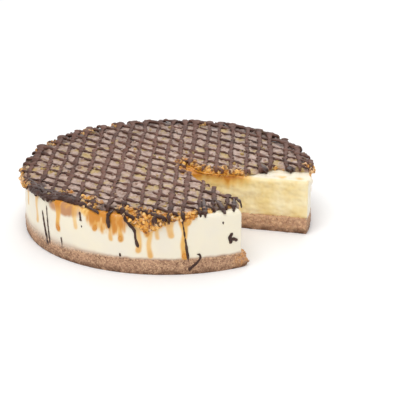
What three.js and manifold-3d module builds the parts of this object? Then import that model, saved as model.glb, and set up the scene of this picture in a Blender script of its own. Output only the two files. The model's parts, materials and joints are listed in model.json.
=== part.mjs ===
// A round baked cheesecake with one slice cut away. Millimetres, +Z up.
// The origin is the middle of the underside. The missing slice lies between -62 and -17 degrees, measured
// from +X towards +Y. Three layers run through the cake: a pressed biscuit base, the baked cream filling,
// and a topping of chopped nuts in caramel with a lattice of dark chocolate poured over it. The caramel and
// chocolate that ran down the wall are part of the filling that they lie on.

import * as THREE from "three";
import { mergeVertices } from "three/addons/utils/BufferGeometryUtils.js";
import Module from "manifold-3d";

// Overall sizes
const BASE_RADIUS = 123.9;
const FILLING_RADIUS = 123.5;
const TOPPING_RADIUS = 124.3;
const BASE_HEIGHT = 13.2;
const FILLING_TOP = 46.2;
const TOPPING_FLOOR = 45.0;
const CELL_TOP = 50.0;
const LAYER_GAP = 0.35;

// The cake baked a little higher at the back: the rise grows with y and with the height
const BACK_RISE = 3;
const RISE_FROM_Y = -10;
const RISE_TO_Y = 118;
const RISE_FROM_Z = 24;
const RISE_TO_Z = 46;

// The cut: two knife strokes that meet a little off the middle
const KNIFE_TIP = new THREE.Vector2(7, -5);
const NEAR_CUT_DEGREES = -62.3;
const FAR_CUT_DEGREES = -17.3;
const NEAR_CUT_BOW = 2.2;
const FAR_CUT_BOW = 0.8;

// The biscuit base crumbles, so its cut edges stand a little further into the gap
const BASE_TIP = new THREE.Vector2(9.5, -7);
const BASE_NEAR_DEGREES = -60.4;
const BASE_FAR_DEGREES = -18.9;
const BASE_CUT_BOW = 1;

// Step lengths along the outlines
const ARC_STEP = 7.6;
const CUT_STEP = 7;

// The levels of the base and the filling: height, how far the wall is drawn in, and at the base how grainy it
// is, or at the filling how much of the swell it takes
const BASE_LEVELS = [
  { z: 0, inset: 0.9, grain: 0 },
  { z: 1.4, inset: 0.1, grain: 0.5 },
  { z: 6.8, inset: 0, grain: 1 },
  { z: 11.9, inset: 0.2, grain: 0.7 },
  { z: BASE_HEIGHT, inset: 0.9, grain: 0 },
];
const FILLING_LEVELS = [
  { z: BASE_HEIGHT + LAYER_GAP, inset: 0.3, swell: 0 },
  { z: 19, inset: 0, swell: 0 },
  { z: 27, inset: 0, swell: 0 },
  { z: 35, inset: 0, swell: 0 },
  { z: 42.6, inset: 0, swell: 0.4 },
  { z: 45.4, inset: 0.9, swell: 1 },
  { z: FILLING_TOP, inset: 2.6, swell: 1 },
];
// The top of the filling narrows to this share of itself, towards a point from which all its outline is seen
const SHOULDER_DEPTH = 1;
const SHOULDER_SHARE = 0.9;
const HEART = new THREE.Vector2(-15, 13);

// Surface relief, as the furthest that a point stands in or out
const BASE_RELIEF = 0.45;
const BASE_CUT_RELIEF = 1.1;
const WALL_RELIEF = 0.12;
const TORN_RELIEF = 0.85;

// The waves of the torn relief: how fast each turns along the cut and up it, its phase and its share
const TORN_WAVES = [
  { along: 2.4, up: 1.9, phase: 0.4, share: 1 },
  { along: 5.1, up: -3.7, phase: 2.1, share: 0.5 },
];

// The cream swells up under the chocolate beside the near cut, and bulges out at the far corner
const SWELL_DEGREES = -68;
const SWELL_WIDTH_DEGREES = 11;
const SWELL_HEIGHT = 2.6;
const BULGE_DEGREES = -13;
const BULGE_WIDTH_DEGREES = 4;
const BULGE_DEPTH = 2.4;
const BULGE_Z = 44;
const BULGE_HALF_HEIGHT = 7;

// The chocolate lattice: two families of lines, each with its direction and pitch
const FIELD_REACH = 134;
const FAMILY_A = { degrees: 140, pitch: 12.9, seed: 11, width: 3.4 };
const FAMILY_B = { degrees: 86, pitch: 11.9, seed: 23, width: 4.4 };
const LINE_WIDTH_SHARE = [0.85, 1.2];
const PITCH_JITTER = 0.34;
const LINE_WANDER = 1.1;
const RIDGE_HEIGHT = 1.2;
const CROSSING_EXTRA = 0.4;
const NUT_UNEVENNESS = 1.3;
const RIM_FALL = 1.7;
const RIM_FALL_START = 112;

// Nuts round the rim: where they start and end, their mean distance, and between what values their radius,
// their height and their depth in from the rim lie
const RIM_NUTS_FROM = -4;
const RIM_NUTS_TO = 297;
const RIM_NUT_PITCH = 24;
const RIM_NUT_RADIUS = [2.475, 4.125];
const RIM_NUT_Z = [45.8, 48.2];
const RIM_NUT_INSET = [0.4, 1.7];
const RIM_WAVE = 1.5;
const EDGE_WAVE = 0.7;

// The big clump of nuts that hangs over the side, and its height at the wall
const CLUMP_FROM = -105;
const CLUMP_TO = -90;
const CLUMP_LOW_DEGREES = -98.8;
const CLUMP_LOW_Z = 39.5;
const CLUMP_SLOPE = 0.75;
const CLUMP_ROW_HEIGHT = 4.5;
const CLUMP_HIGHEST_Z = 48;
const CLUMP_NUTS = 11;
const CLUMP_NUT_RADIUS = [3.2, 4.3];
const CLUMP_NUT_OUTSET = [0.6, 1.2];
const CLUMP_NUT_RISE = 0.5;

// Caramel and chocolate that ran down the wall: angle in degrees, lowest height, width
const WALL_RUNS = [
  [-161, 29, 4.0],
  [-151, 21, 4.6],
  [-135, 24, 5.4],
  [-118, 32, 4.6],
  [-115, 34, 6.0],
  [-108, 26, 4.6],
  [-101, 18, 4.6],
  [-97, 15, 4.4],
  [-89.4, 31, 5.0],
  [-85.2, 15.5, 4.6],
  [-112.3, 40, 3.0],
  [-104.6, 30, 3.2],
];

// On the rest of the wall the runs follow a rule
const RUNS_FROM = -8;
const RUNS_TO = 194;
const RUN_SPACING = 17;
const RUN_LOW_Z = [20, 44];
const RUN_WIDTH = [3.2, 5.4];
const RUN_SHORTEST = 4;
const RUN_SIDES = 5;
const RUN_FLATNESS = 0.6;
const RUN_DEPTH = 0.3;

// A run's profile in half widths: how high its drop is widest, and how high and wide its neck is
const DROP_WIDEST = 0.9;
const NECK_HEIGHT = 2.6;
const NECK_WIDTH = 0.75;

// The topping's outline where it isn't the rim: its near edge hangs a little over the cut, and its far edge
// was torn back from the cut towards the rim
const TOPPING_FAR_DEGREES = -5.5;
const TOPPING_NEAR_DEGREES = -61.8;
const TEAR_TIP = new THREE.Vector2(12.5, 12);
const NEAR_EDGE = [
  [54.6, -90],
  [44.4, -70],
  [25.4, -36.5],
  [15, -12],
];
const FAR_EDGE = [
  [19.5, 4],
  [27, -8.5],
  [45, -15.5],
  [62, -20],
  [80, -14.5],
  [93, -5.5],
  [107, -11.5],
];
const EDGE_POINTS = 24;

// Crumbs that cling to the base beside the near corner
const BASE_CRUMBS = 9;
const BASE_CRUMB_PITCH = 3.2;
const BASE_CRUMB_START = 2;
const BASE_CRUMB_RADIUS = [1.5, 3.1];
const BASE_CRUMB_SCATTER = [0, 1.2];
const BASE_CRUMB_CLIMB = 8;
const BASE_CRUMB_SINK = 0.95;

// How much a crumb or nut is stretched each way
const CRUMB_STRETCH_X = [0.8, 1.3];
const CRUMB_STRETCH_Y = [0.7, 1.2];
const CRUMB_STRETCH_Z = [0.65, 1.05];

// The distance between two neighbours in an uneven row, as a share of the mean
const SPACING_SHARE = [0.6, 1.4];
const CRUMB_SPACING_SHARE = [0.7, 1.3];

// Seeds of the random draws
const BASE_SEED = 5;
const NUT_BED_SEED = 41;
const RUN_SEED = 77;
const RIM_NUT_SEED = 91;

const wasm = await Module();
wasm.setup();

// A repeatable stream of numbers from 0 to 1.
function seededRandom(seed) {
  let state = seed >>> 0;
  return () => {
    state = (state + 0x6d2b79f5) >>> 0;
    let mixed = Math.imul(state ^ (state >>> 15), state | 1);
    mixed ^= mixed + Math.imul(mixed ^ (mixed >>> 7), mixed | 61);
    return ((mixed ^ (mixed >>> 14)) >>> 0) / 4294967296;
  };
}

// A random value between the two of a range.
function draw(random, [least, most]) {
  return least + (most - least) * random();
}

// A smooth uneven wave from -1 to 1.
function wave(at, phase) {
  return (
    0.5 * Math.sin(at * 0.11 + phase) +
    0.3 * Math.sin(at * 0.29 + phase * 2.3) +
    0.2 * Math.sin(at * 0.67 + phase * 4.1)
  );
}

// A soft hump of height 1 at the centre, which is 0 from the half width on.
function hump(distance, halfWidth) {
  const share = Math.min(1, Math.abs(distance) / halfWidth);
  return (1 - share * share) ** 2;
}

function polar(radius, degrees) {
  const angle = THREE.MathUtils.degToRad(degrees);
  return new THREE.Vector2(Math.cos(angle), Math.sin(angle)).multiplyScalar(radius);
}

// The points of a straight cut bowed sideways into the gap, without its two ends.
function cutPoints(from, to, bow) {
  const steps = Math.round(from.distanceTo(to) / CUT_STEP);
  const along = to.clone().sub(from).normalize();
  const points = [];
  for (let i = 1; i < steps; i++) {
    const share = i / steps;
    const aside = bow * Math.sin(Math.PI * share);
    const point = from.clone().lerp(to, share);
    points.push(new THREE.Vector2(point.x + along.y * aside, point.y - along.x * aside));
  }
  return points;
}

// The closed outline of a layer, anticlockwise: out along the far cut, round the rim, and back along the
// near cut. Each point carries its outward direction and whether it is on the rim or on a cut.
function layerOutline(radius, tip, nearDegrees, farDegrees, nearBow, farBow) {
  const farCorner = polar(radius, farDegrees);
  const nearCorner = polar(radius, nearDegrees);
  const sweep = 360 + nearDegrees - farDegrees;
  const arcSteps = Math.round((THREE.MathUtils.degToRad(sweep) * radius) / ARC_STEP);
  const rim = [];
  for (let i = 1; i < arcSteps; i++) {
    rim.push(polar(radius, farDegrees + (sweep * i) / arcSteps));
  }
  const farCut = cutPoints(tip, farCorner, farBow);
  const nearCut = cutPoints(nearCorner, tip, nearBow);
  const places = [tip, ...farCut, farCorner, ...rim, nearCorner, ...nearCut];
  const rimStart = farCut.length + 1;
  const rimEnd = rimStart + rim.length + 1;
  return places.map((place, i) => {
    const before = places[(i + places.length - 1) % places.length];
    const after = places[(i + 1) % places.length];
    const along = after.clone().sub(before).normalize();
    return {
      place,
      out: new THREE.Vector2(along.y, -along.x),
      onRim: i >= rimStart && i <= rimEnd,
      corner: i === 0 || i === rimStart || i === rimEnd,
    };
  });
}

// A closed solid through a stack of loops with the same number of points, with flat ends.
function stackLoops(loops) {
  const count = loops[0].length;
  const positions = loops.flat().flatMap((point) => [point.x, point.y, point.z]);
  const faces = [];
  for (let level = 0; level + 1 < loops.length; level++) {
    for (let i = 0; i < count; i++) {
      const low = level * count + i;
      const lowNext = level * count + ((i + 1) % count);
      faces.push(low, lowNext, lowNext + count, low, lowNext + count, low + count);
    }
  }
  const flat = (loop) => loop.map((point) => new THREE.Vector2(point.x, point.y));
  const topStart = (loops.length - 1) * count;
  for (const [a, b, c] of THREE.ShapeUtils.triangulateShape(flat(loops[0]), [])) {
    faces.push(a, c, b);
  }
  for (const [a, b, c] of THREE.ShapeUtils.triangulateShape(flat(loops.at(-1)), [])) {
    faces.push(topStart + a, topStart + b, topStart + c);
  }
  const geometry = new THREE.BufferGeometry();
  geometry.setAttribute("position", new THREE.Float32BufferAttribute(positions, 3));
  geometry.setIndex(faces);
  return geometry;
}

function solidFrom(geometry) {
  const bare = geometry.clone();
  for (const name of Object.keys(bare.attributes)) {
    if (name !== "position") {
      bare.deleteAttribute(name);
    }
  }
  const merged = mergeVertices(bare, 1e-4);
  const triVerts = new Uint32Array(merged.index.array);
  const vertProperties = merged.attributes.position.array;
  return new wasm.Manifold(new wasm.Mesh({ numProp: 3, vertProperties, triVerts }));
}

function geometryFrom(solid) {
  const mesh = solid.getMesh();
  const geometry = new THREE.BufferGeometry();
  geometry.setAttribute("position", new THREE.BufferAttribute(mesh.vertProperties, 3));
  geometry.setIndex(new THREE.BufferAttribute(mesh.triVerts, 1));
  return geometry;
}

// The largest body of a solid, without loose scraps.
function largestBody(solid) {
  const bodies = solid.decompose();
  bodies.sort((a, b) => b.volume() - a.volume());
  return bodies[0];
}

// An uneven lump with twenty faces, squashed and turned at random.
function crumb(radius, x, y, z, random) {
  const geometry = new THREE.IcosahedronGeometry(radius, 0);
  geometry.scale(draw(random, CRUMB_STRETCH_X), draw(random, CRUMB_STRETCH_Y), draw(random, CRUMB_STRETCH_Z));
  geometry.rotateX(Math.PI * random());
  geometry.rotateZ(Math.PI * random());
  geometry.translate(x, y, z);
  return solidFrom(geometry);
}

// The biscuit base: pressed crumbs with a grainy wall and crumbling cut edges.
function biscuitBase() {
  const random = seededRandom(BASE_SEED);
  const outline = layerOutline(
    BASE_RADIUS,
    BASE_TIP,
    BASE_NEAR_DEGREES,
    BASE_FAR_DEGREES,
    BASE_CUT_BOW,
    BASE_CUT_BOW,
  );
  const loops = BASE_LEVELS.map((level) =>
    outline.map((point) => {
      const reach = point.onRim ? BASE_RELIEF : BASE_CUT_RELIEF;
      const offset = -level.inset + level.grain * reach * (2 * random() - 1);
      const place = point.place.clone().addScaledVector(point.out, offset);
      return new THREE.Vector3(place.x, place.y, level.z);
    }),
  );
  let base = solidFrom(stackLoops(loops));
  const corner = polar(BASE_RADIUS, BASE_NEAR_DEGREES);
  const inward = BASE_TIP.clone().sub(corner).normalize();
  for (let i = 0; i < BASE_CRUMBS; i++) {
    const along = BASE_CRUMB_START + i * BASE_CRUMB_PITCH * draw(random, CRUMB_SPACING_SHARE);
    const radius = draw(random, BASE_CRUMB_RADIUS);
    const x = corner.x + inward.x * along + draw(random, BASE_CRUMB_SCATTER);
    const y = corner.y + inward.y * along + draw(random, BASE_CRUMB_SCATTER);
    const z = BASE_CRUMB_SINK * radius + BASE_CRUMB_CLIMB * random() ** 2;
    base = base.add(crumb(radius, x, y, z, random));
  }
  const underside = new THREE.BoxGeometry(3 * BASE_RADIUS, 3 * BASE_RADIUS, BASE_HEIGHT);
  underside.translate(0, 0, -BASE_HEIGHT / 2);
  return largestBody(base.subtract(solidFrom(underside)));
}

// How far a point of the filling's wall stands out of its plain form.
function fillingRelief(point, z, degrees) {
  if (point.onRim) {
    const bulge = hump(degrees - BULGE_DEGREES, BULGE_WIDTH_DEGREES) * hump(z - BULGE_Z, BULGE_HALF_HEIGHT);
    return WALL_RELIEF * wave(degrees * 2 + z, 1.3) + BULGE_DEPTH * bulge;
  }
  const reach = point.place.length();
  const torn = TORN_WAVES.map(({ along, up, phase, share }) => share * wave(reach * along + z * up, phase));
  return TORN_RELIEF * torn.reduce((sum, part) => sum + part, 0);
}

// The cream filling. With grow it is larger by that much all round, which is what its neighbours keep clear
// of.
function creamFilling(grow) {
  const outline = layerOutline(
    FILLING_RADIUS,
    KNIFE_TIP,
    NEAR_CUT_DEGREES,
    FAR_CUT_DEGREES,
    NEAR_CUT_BOW,
    FAR_CUT_BOW,
  );
  const loops = FILLING_LEVELS.map((level) =>
    outline.map((point) => {
      const degrees = THREE.MathUtils.radToDeg(point.place.angle());
      const turn = degrees > 180 ? degrees - 360 : degrees;
      const relief = point.corner ? 0 : fillingRelief(point, level.z, turn);
      const place = point.place.clone().addScaledVector(point.out, relief - level.inset + grow);
      const swell = level.swell * SWELL_HEIGHT * hump(turn - SWELL_DEGREES, SWELL_WIDTH_DEGREES);
      const onShoulder = level.z > FILLING_TOP - SHOULDER_DEPTH ? grow : 0;
      return new THREE.Vector3(place.x, place.y, level.z + (point.onRim ? swell : 0) + onShoulder);
    }),
  );
  loops.push(
    loops.at(-1).map((point) => {
      const inner = HEART.clone().lerp(new THREE.Vector2(point.x, point.y), SHOULDER_SHARE);
      return new THREE.Vector3(inner.x, inner.y, FILLING_TOP + grow);
    }),
  );
  return solidFrom(stackLoops(loops));
}

// The offsets of one family's chocolate lines, measured square to them, with three knots for each line:
// its two feet and its crest.
function lineKnots(family) {
  const random = seededRandom(family.seed);
  const knots = [];
  let offset = -FIELD_REACH;
  while (offset < FIELD_REACH) {
    const half = (family.width * draw(random, LINE_WIDTH_SHARE)) / 2;
    knots.push({ at: offset - half, crest: false, line: knots.length / 3 });
    knots.push({ at: offset, crest: true, line: (knots.length - 1) / 3 });
    knots.push({ at: offset + half, crest: false, line: (knots.length - 2) / 3 });
    offset += family.pitch * (1 + PITCH_JITTER * (random() - 0.5));
  }
  return knots;
}

// The point at the given distances square to the two families.
function latticePoint(a, b) {
  const directionA = THREE.MathUtils.degToRad(FAMILY_A.degrees);
  const directionB = THREE.MathUtils.degToRad(FAMILY_B.degrees);
  const squareA = new THREE.Vector2(-Math.sin(directionA), Math.cos(directionA));
  const squareB = new THREE.Vector2(-Math.sin(directionB), Math.cos(directionB));
  const cross = squareA.x * squareB.y - squareA.y * squareB.x;
  return new THREE.Vector2(
    (a * squareB.y - b * squareA.y) / cross,
    (b * squareA.x - a * squareB.x) / cross,
  );
}

// The topping before it is trimmed: a slab whose upper face has the two families of ridges.
function latticeSlab() {
  const random = seededRandom(NUT_BED_SEED);
  const rows = lineKnots(FAMILY_A);
  const columns = lineKnots(FAMILY_B);
  const tops = [];
  const floors = [];
  for (const row of rows) {
    for (const column of columns) {
      const a = row.at + LINE_WANDER * wave(column.at, row.line * 1.7);
      const b = column.at + LINE_WANDER * wave(row.at, column.line * 2.9 + 1);
      const place = latticePoint(a, b);
      const fall = RIM_FALL * THREE.MathUtils.smoothstep(place.length(), RIM_FALL_START, TOPPING_RADIUS);
      let height = CELL_TOP - fall + NUT_UNEVENNESS * (random() - 0.5);
      if (row.crest || column.crest) {
        height += RIDGE_HEIGHT;
      }
      if (row.crest && column.crest) {
        height += CROSSING_EXTRA;
      }
      tops.push(place.x, place.y, height);
      floors.push(place.x, place.y, TOPPING_FLOOR);
    }
  }
  const width = columns.length;
  const faces = [];
  const under = tops.length / 3;
  // The face directions depend on which way the skewed grid turns
  const first = latticePoint(rows[0].at, columns[0].at);
  const along = latticePoint(rows[0].at, columns[1].at).sub(first);
  const across = latticePoint(rows[1].at, columns[0].at).sub(first);
  const flip = along.cross(across) < 0;
  const face = (a, b, c) => (flip ? faces.push(a, c, b) : faces.push(a, b, c));
  for (let row = 0; row + 1 < rows.length; row++) {
    for (let column = 0; column + 1 < width; column++) {
      const corner = row * width + column;
      face(corner, corner + 1, corner + width + 1);
      face(corner, corner + width + 1, corner + width);
      face(under + corner, under + corner + width + 1, under + corner + 1);
      face(under + corner, under + corner + width, under + corner + width + 1);
    }
  }
  const side = (from, to) => {
    face(from, to, under + to);
    face(from, under + to, under + from);
  };
  const last = (rows.length - 1) * width;
  for (let column = 0; column + 1 < width; column++) {
    side(column + 1, column);
    side(last + column, last + column + 1);
  }
  for (let row = 0; row + 1 < rows.length; row++) {
    side(row * width, (row + 1) * width);
    side((row + 2) * width - 1, (row + 1) * width - 1);
  }
  const geometry = new THREE.BufferGeometry();
  geometry.setAttribute("position", new THREE.Float32BufferAttribute([...tops, ...floors], 3));
  geometry.setIndex(faces);
  return solidFrom(geometry);
}

// The topping's closed outline: a bumpy rim, then the near edge and the far edge, which meet at the tear.
function toppingOutline() {
  const sweep = 360 + TOPPING_NEAR_DEGREES - TOPPING_FAR_DEGREES;
  const steps = Math.round((THREE.MathUtils.degToRad(sweep) * TOPPING_RADIUS) / ARC_STEP);
  const rim = [];
  for (let i = 0; i <= steps; i++) {
    const degrees = TOPPING_FAR_DEGREES + (sweep * i) / steps;
    rim.push(polar(TOPPING_RADIUS + RIM_WAVE * (0.5 + 0.5 * wave(degrees * 9, 0.7)), degrees));
  }
  const between = (knots) => knots.map(([x, y]) => new THREE.Vector2(x, y));
  const nearEdge = new THREE.SplineCurve([rim.at(-1), ...between(NEAR_EDGE), TEAR_TIP]);
  const farEdge = new THREE.SplineCurve([TEAR_TIP, ...between(FAR_EDGE), rim[0]]);
  const near = nearEdge.getSpacedPoints(EDGE_POINTS).slice(1, -1);
  const far = farEdge.getSpacedPoints(EDGE_POINTS).slice(0, -1);
  const ragged = (points, phase) =>
    points.map((point, i) => {
      const aside = EDGE_WAVE * wave(i * 9, phase);
      const along = EDGE_WAVE * wave(i * 7, phase + 2);
      return new THREE.Vector2(point.x + aside, point.y + along);
    });
  return [...rim, ...ragged(near, 1), ...ragged(far, 5)];
}

// Nuts that stand out round the rim, and the clump that hangs over the side, each with its lowest height.
function rimNuts() {
  const random = seededRandom(RIM_NUT_SEED);
  const nuts = [];
  const pitchDegrees = THREE.MathUtils.radToDeg(RIM_NUT_PITCH / TOPPING_RADIUS);
  const addNut = (degrees, reach, z, radius) => {
    const place = polar(reach, degrees);
    const solid = crumb(radius, place.x, place.y, z, random);
    nuts.push({ degrees, radius, lowest: solid.boundingBox().min[2], solid });
  };
  let next = RIM_NUTS_FROM;
  while (next < RIM_NUTS_TO) {
    const radius = draw(random, RIM_NUT_RADIUS);
    const reach = TOPPING_RADIUS - draw(random, RIM_NUT_INSET);
    addNut(next, reach, draw(random, RIM_NUT_Z), radius);
    next += pitchDegrees * draw(random, SPACING_SHARE);
  }
  for (let i = 0; i < CLUMP_NUTS; i++) {
    const degrees = CLUMP_FROM + ((CLUMP_TO - CLUMP_FROM) * (i + 0.5)) / CLUMP_NUTS;
    const lowest = CLUMP_LOW_Z + CLUMP_SLOPE * Math.abs(degrees - CLUMP_LOW_DEGREES);
    const radius = draw(random, CLUMP_NUT_RADIUS);
    const reach = FILLING_RADIUS + draw(random, CLUMP_NUT_OUTSET);
    const upper = i % 2 ? CLUMP_ROW_HEIGHT : 0;
    addNut(degrees, reach, Math.min(lowest + upper + CLUMP_NUT_RISE * radius, CLUMP_HIGHEST_Z), radius);
  }
  return nuts;
}

// A run that hangs down the wall from a head: a stem that swells into a drop, sunk into the wall by its back.
function run(degrees, low, width, head) {
  const half = width / 2;
  const profile = [
    new THREE.Vector2(0, low),
    new THREE.Vector2(half, low + DROP_WIDEST * half),
    new THREE.Vector2(NECK_WIDTH * half, Math.min(low + NECK_HEIGHT * half, head - 1)),
    new THREE.Vector2(half, head),
    new THREE.Vector2(0, head),
  ];
  const drop = new THREE.LatheGeometry(profile, RUN_SIDES);
  drop.rotateX(Math.PI / 2);
  drop.scale(RUN_FLATNESS, 1, 1);
  const behind = new THREE.BoxGeometry(width, 2 * width, 2 * FILLING_TOP);
  behind.translate(-width / 2 - RUN_DEPTH, 0, FILLING_TOP / 2);
  const turn = new THREE.Matrix4().makeRotationZ(THREE.MathUtils.degToRad(degrees));
  const shift = new THREE.Matrix4().makeTranslation(FILLING_RADIUS, 0, 0);
  const matrix = turn.multiply(shift).toArray();
  return solidFrom(drop).subtract(solidFrom(behind)).transform(matrix);
}

// All the runs on the wall, each with its head just below the topping and the nuts that hang over it.
function wallRuns(nuts) {
  const random = seededRandom(RUN_SEED);
  const runs = [...WALL_RUNS];
  let next = RUNS_FROM;
  while (next < RUNS_TO) {
    runs.push([next, draw(random, RUN_LOW_Z), draw(random, RUN_WIDTH)]);
    next += RUN_SPACING * draw(random, SPACING_SHARE);
  }
  const solids = [];
  for (const [degrees, low, width] of runs) {
    let head = TOPPING_FLOOR - LAYER_GAP;
    for (const nut of nuts) {
      const apart = THREE.MathUtils.degToRad(Math.abs(((degrees - nut.degrees + 540) % 360) - 180));
      if (apart * FILLING_RADIUS < width / 2 + CRUMB_STRETCH_X[1] * nut.radius + LAYER_GAP) {
        head = Math.min(head, nut.lowest - LAYER_GAP);
      }
    }
    if (head > low + RUN_SHORTEST) {
      solids.push(run(degrees, low, width, head));
    }
  }
  return solids;
}

function nutTopping(nuts) {
  const trim = new THREE.ExtrudeGeometry(new THREE.Shape(toppingOutline()), {
    depth: 2 * (CELL_TOP - TOPPING_FLOOR) + 2 * RIDGE_HEIGHT,
    bevelEnabled: false,
  });
  trim.translate(0, 0, TOPPING_FLOOR - RIDGE_HEIGHT);
  let topping = latticeSlab().intersect(solidFrom(trim));
  for (const nut of nuts) {
    topping = topping.add(nut.solid);
  }
  return largestBody(topping.subtract(creamFilling(LAYER_GAP)));
}

function creamWithRuns(nuts) {
  let cream = creamFilling(0);
  for (const solid of wallRuns(nuts)) {
    cream = cream.add(solid);
  }
  return largestBody(cream);
}

// Raises the upper part of a layer towards the back of the cake.
function raiseBack(geometry) {
  const positions = geometry.getAttribute("position");
  const { smoothstep } = THREE.MathUtils;
  for (let i = 0; i < positions.count; i++) {
    const share = smoothstep(positions.getY(i), RISE_FROM_Y, RISE_TO_Y);
    const height = smoothstep(positions.getZ(i), RISE_FROM_Z, RISE_TO_Z);
    positions.setZ(i, positions.getZ(i) + BACK_RISE * share * height);
  }
  return geometry;
}

function layer(name, geometry, color, roughness) {
  const material = new THREE.MeshStandardMaterial({ color, roughness, metalness: 0, flatShading: true });
  const mesh = new THREE.Mesh(geometry, material);
  mesh.name = name;
  return mesh;
}

const nuts = rimNuts();
const cheesecake = new THREE.Group();
cheesecake.add(layer("biscuit_base", geometryFrom(biscuitBase()), 0xa77d63, 0.9));
cheesecake.add(layer("cream_filling", raiseBack(geometryFrom(creamWithRuns(nuts))), 0xf0e6d0, 0.55));
cheesecake.add(layer("nut_topping", raiseBack(geometryFrom(nutTopping(nuts))), 0x7a6054, 0.35));

export default cheesecake;
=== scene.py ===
"""A round baked cheesecake with one slice cut away, under a nut and caramel topping and a chocolate lattice.

Lengths in the functions are millimetres, +Z up, from the middle of the underside. Angles are degrees from
+X towards +Y. A piece's place is in its mesh, in metres.
"""

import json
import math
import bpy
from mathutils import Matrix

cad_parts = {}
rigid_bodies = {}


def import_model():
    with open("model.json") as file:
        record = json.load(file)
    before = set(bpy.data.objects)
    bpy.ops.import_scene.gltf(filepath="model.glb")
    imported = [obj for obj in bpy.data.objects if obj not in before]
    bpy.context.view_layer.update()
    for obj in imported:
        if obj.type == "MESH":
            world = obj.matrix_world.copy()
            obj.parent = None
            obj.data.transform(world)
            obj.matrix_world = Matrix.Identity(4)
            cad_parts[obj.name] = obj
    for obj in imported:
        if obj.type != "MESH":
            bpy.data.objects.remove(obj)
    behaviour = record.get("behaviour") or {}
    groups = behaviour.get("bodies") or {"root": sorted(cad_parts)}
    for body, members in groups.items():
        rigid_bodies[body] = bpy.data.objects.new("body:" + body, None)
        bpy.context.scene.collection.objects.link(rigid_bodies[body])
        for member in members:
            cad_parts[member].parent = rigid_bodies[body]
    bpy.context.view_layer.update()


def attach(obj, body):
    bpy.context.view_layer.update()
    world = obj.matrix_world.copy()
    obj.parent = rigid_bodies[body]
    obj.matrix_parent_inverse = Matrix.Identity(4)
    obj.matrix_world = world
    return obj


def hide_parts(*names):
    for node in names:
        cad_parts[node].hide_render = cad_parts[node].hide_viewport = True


bl_info = {
    "name": "Cut Cheesecake",
    "version": (1, 0, 0),
    "blender": (4, 5, 0),
    "location": "View3D > Sidebar > Cheesecake",
    "description": "Builds a cut cheesecake with a nut topping and a poured chocolate lattice",
    "category": "Add Mesh",
}

from types import SimpleNamespace

import bpy
import bmesh
import numpy as np
from bpy.props import FloatProperty, FloatVectorProperty, IntProperty, PointerProperty
from mathutils import Vector, geometry, kdtree, noise

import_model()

MM = 0.001
UP = np.array((0.0, 0.0, 1.0))
SEEDS = {"rule_runs": 77, "spill": 71, "bed_grid": 3, "nut_tones": 77}

# Crumbs and chopped nuts: how many kinds, their radius, how many flat sides they have, the seed of their
# shapes, and the least and the greatest scale
CHIPS = {
    "clinging_crumbs": (5, 0.9, 1, 31, 0.5, 1.5),
    "chopped_nuts": (7, 1.7, 2, 61, 0.55, 1.15),
    "golden_clusters": (7, 2.3, 2, 61, 0.55, 1.15),
}
CRUMB_SPACING = 1.4
MOST_CHIPS_PER_SQUARE_METRE = 400000.0

# A point of the cake from which the whole outline of every layer can be seen
HEART = np.array((-15.0, 13.0))

# The cut-out of the cream and of the base: where its two sides meet, the angles at which the near and the
# far side reach the rim, and how far each side bows
CREAM_CUT = {"tip": (7.0, -5.0), "near": -62.3, "far": -17.3, "bows": (2.2, 0.8)}
BASE_CUT = {"tip": (9.5, -7.0), "near": -60.4, "far": -18.9, "bows": (1.0, 1.0)}
BASE_LEVELS = 19
BASE_TOP_INSETS = (2.0, 4.0, 7.0)
CREAM_LEVELS = 38
# How far in each ring of the cream's shoulder lies, and how much of the wall's relief it keeps
CREAM_SHOULDER = ((0.5, 0.6), (1.2, 0.25), (2.2, 0))
# Where the cream bulges out of the wall beside the far cut, and where lumps of it stick to the near cut: the
# middle and half width in degrees and along the cut, the same in height, and how far they stand out
CREAM_BULGE = {"across": (-13, 4), "up": (44, 7), "out": 2.4}
CUT_LUMPS = {"across": (117, 11), "up": (41, 8), "out": 1.6}
# The rings of the cream's top, as shares of the way from the heart to its shoulder
CREAM_TOP_RINGS = (0.98, 0.965, 0.95, 0.93, 0.91, 0.89, 0.87, 0.84, 0.8, 0.74, 0.66, 0.5, 0.25)

# The cake baked a little higher at the back: how much, and over which y and which heights that grows
BACK_RISE = 3.0
RISING_Y = (-10, 118)
RISING_HEIGHTS = (24, 46)

# The topping's rim runs from one angle round to the other. Its edge then hangs over the near cut, and goes
# back along a tear: x and y of each bend
TOPPING_RIM = (-5.5, -61.8)
TOPPING_NEAR_EDGE = [(54.6, -90), (44.4, -70), (25.4, -36.5), (15, -12), (12.5, 12)]
TOPPING_TEAR = [
    (12.5, 12), (19.5, 4), (27, -8.5), (45, -15.5), (62, -20), (80, -14.5), (93, -5.5), (107, -11.5)
]
TOPPING_UNDERSIDE = 45.6
RIM_BUMPS = 1.5
RIM_FALL = 1.7
RIM_FALL_REACH = (112, 124.3)
TOPPING_UNDERSIDE_INSET = 3.2
BED_RINGS = 9
BED_GRID = 126
# How far the bed's side bulges out, and how far in its lower edge is tucked: at the rim and at a cut
BED_BULGE = (1.3, 0.7)
BED_TUCK = (1.9, 1.2)
# Where the bed's side is calm under the spilled chocolate: angle and half width
CALM_RIM = (-142, 26)

# Over these heights the bed's side turns into its top
TOP_HEIGHTS = (46.2, 48.2)
# Nuts both lower and further in than this would be hidden, and are left out
HIDDEN_BELOW, HIDDEN_REACH = 46.1, 122

# How low the topping hangs at the rim and at a cut, and where the rim's edge is lower or higher than
# elsewhere: angle and half width, and by how much
RIM_LOW = 46.4
CUT_LOW = 46.3
LOWER_RIM, LOWER_BY = (-95, 11), 2.2
HIGHER_RIM, HIGHER_BY = (-138, 26), 3.0
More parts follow.
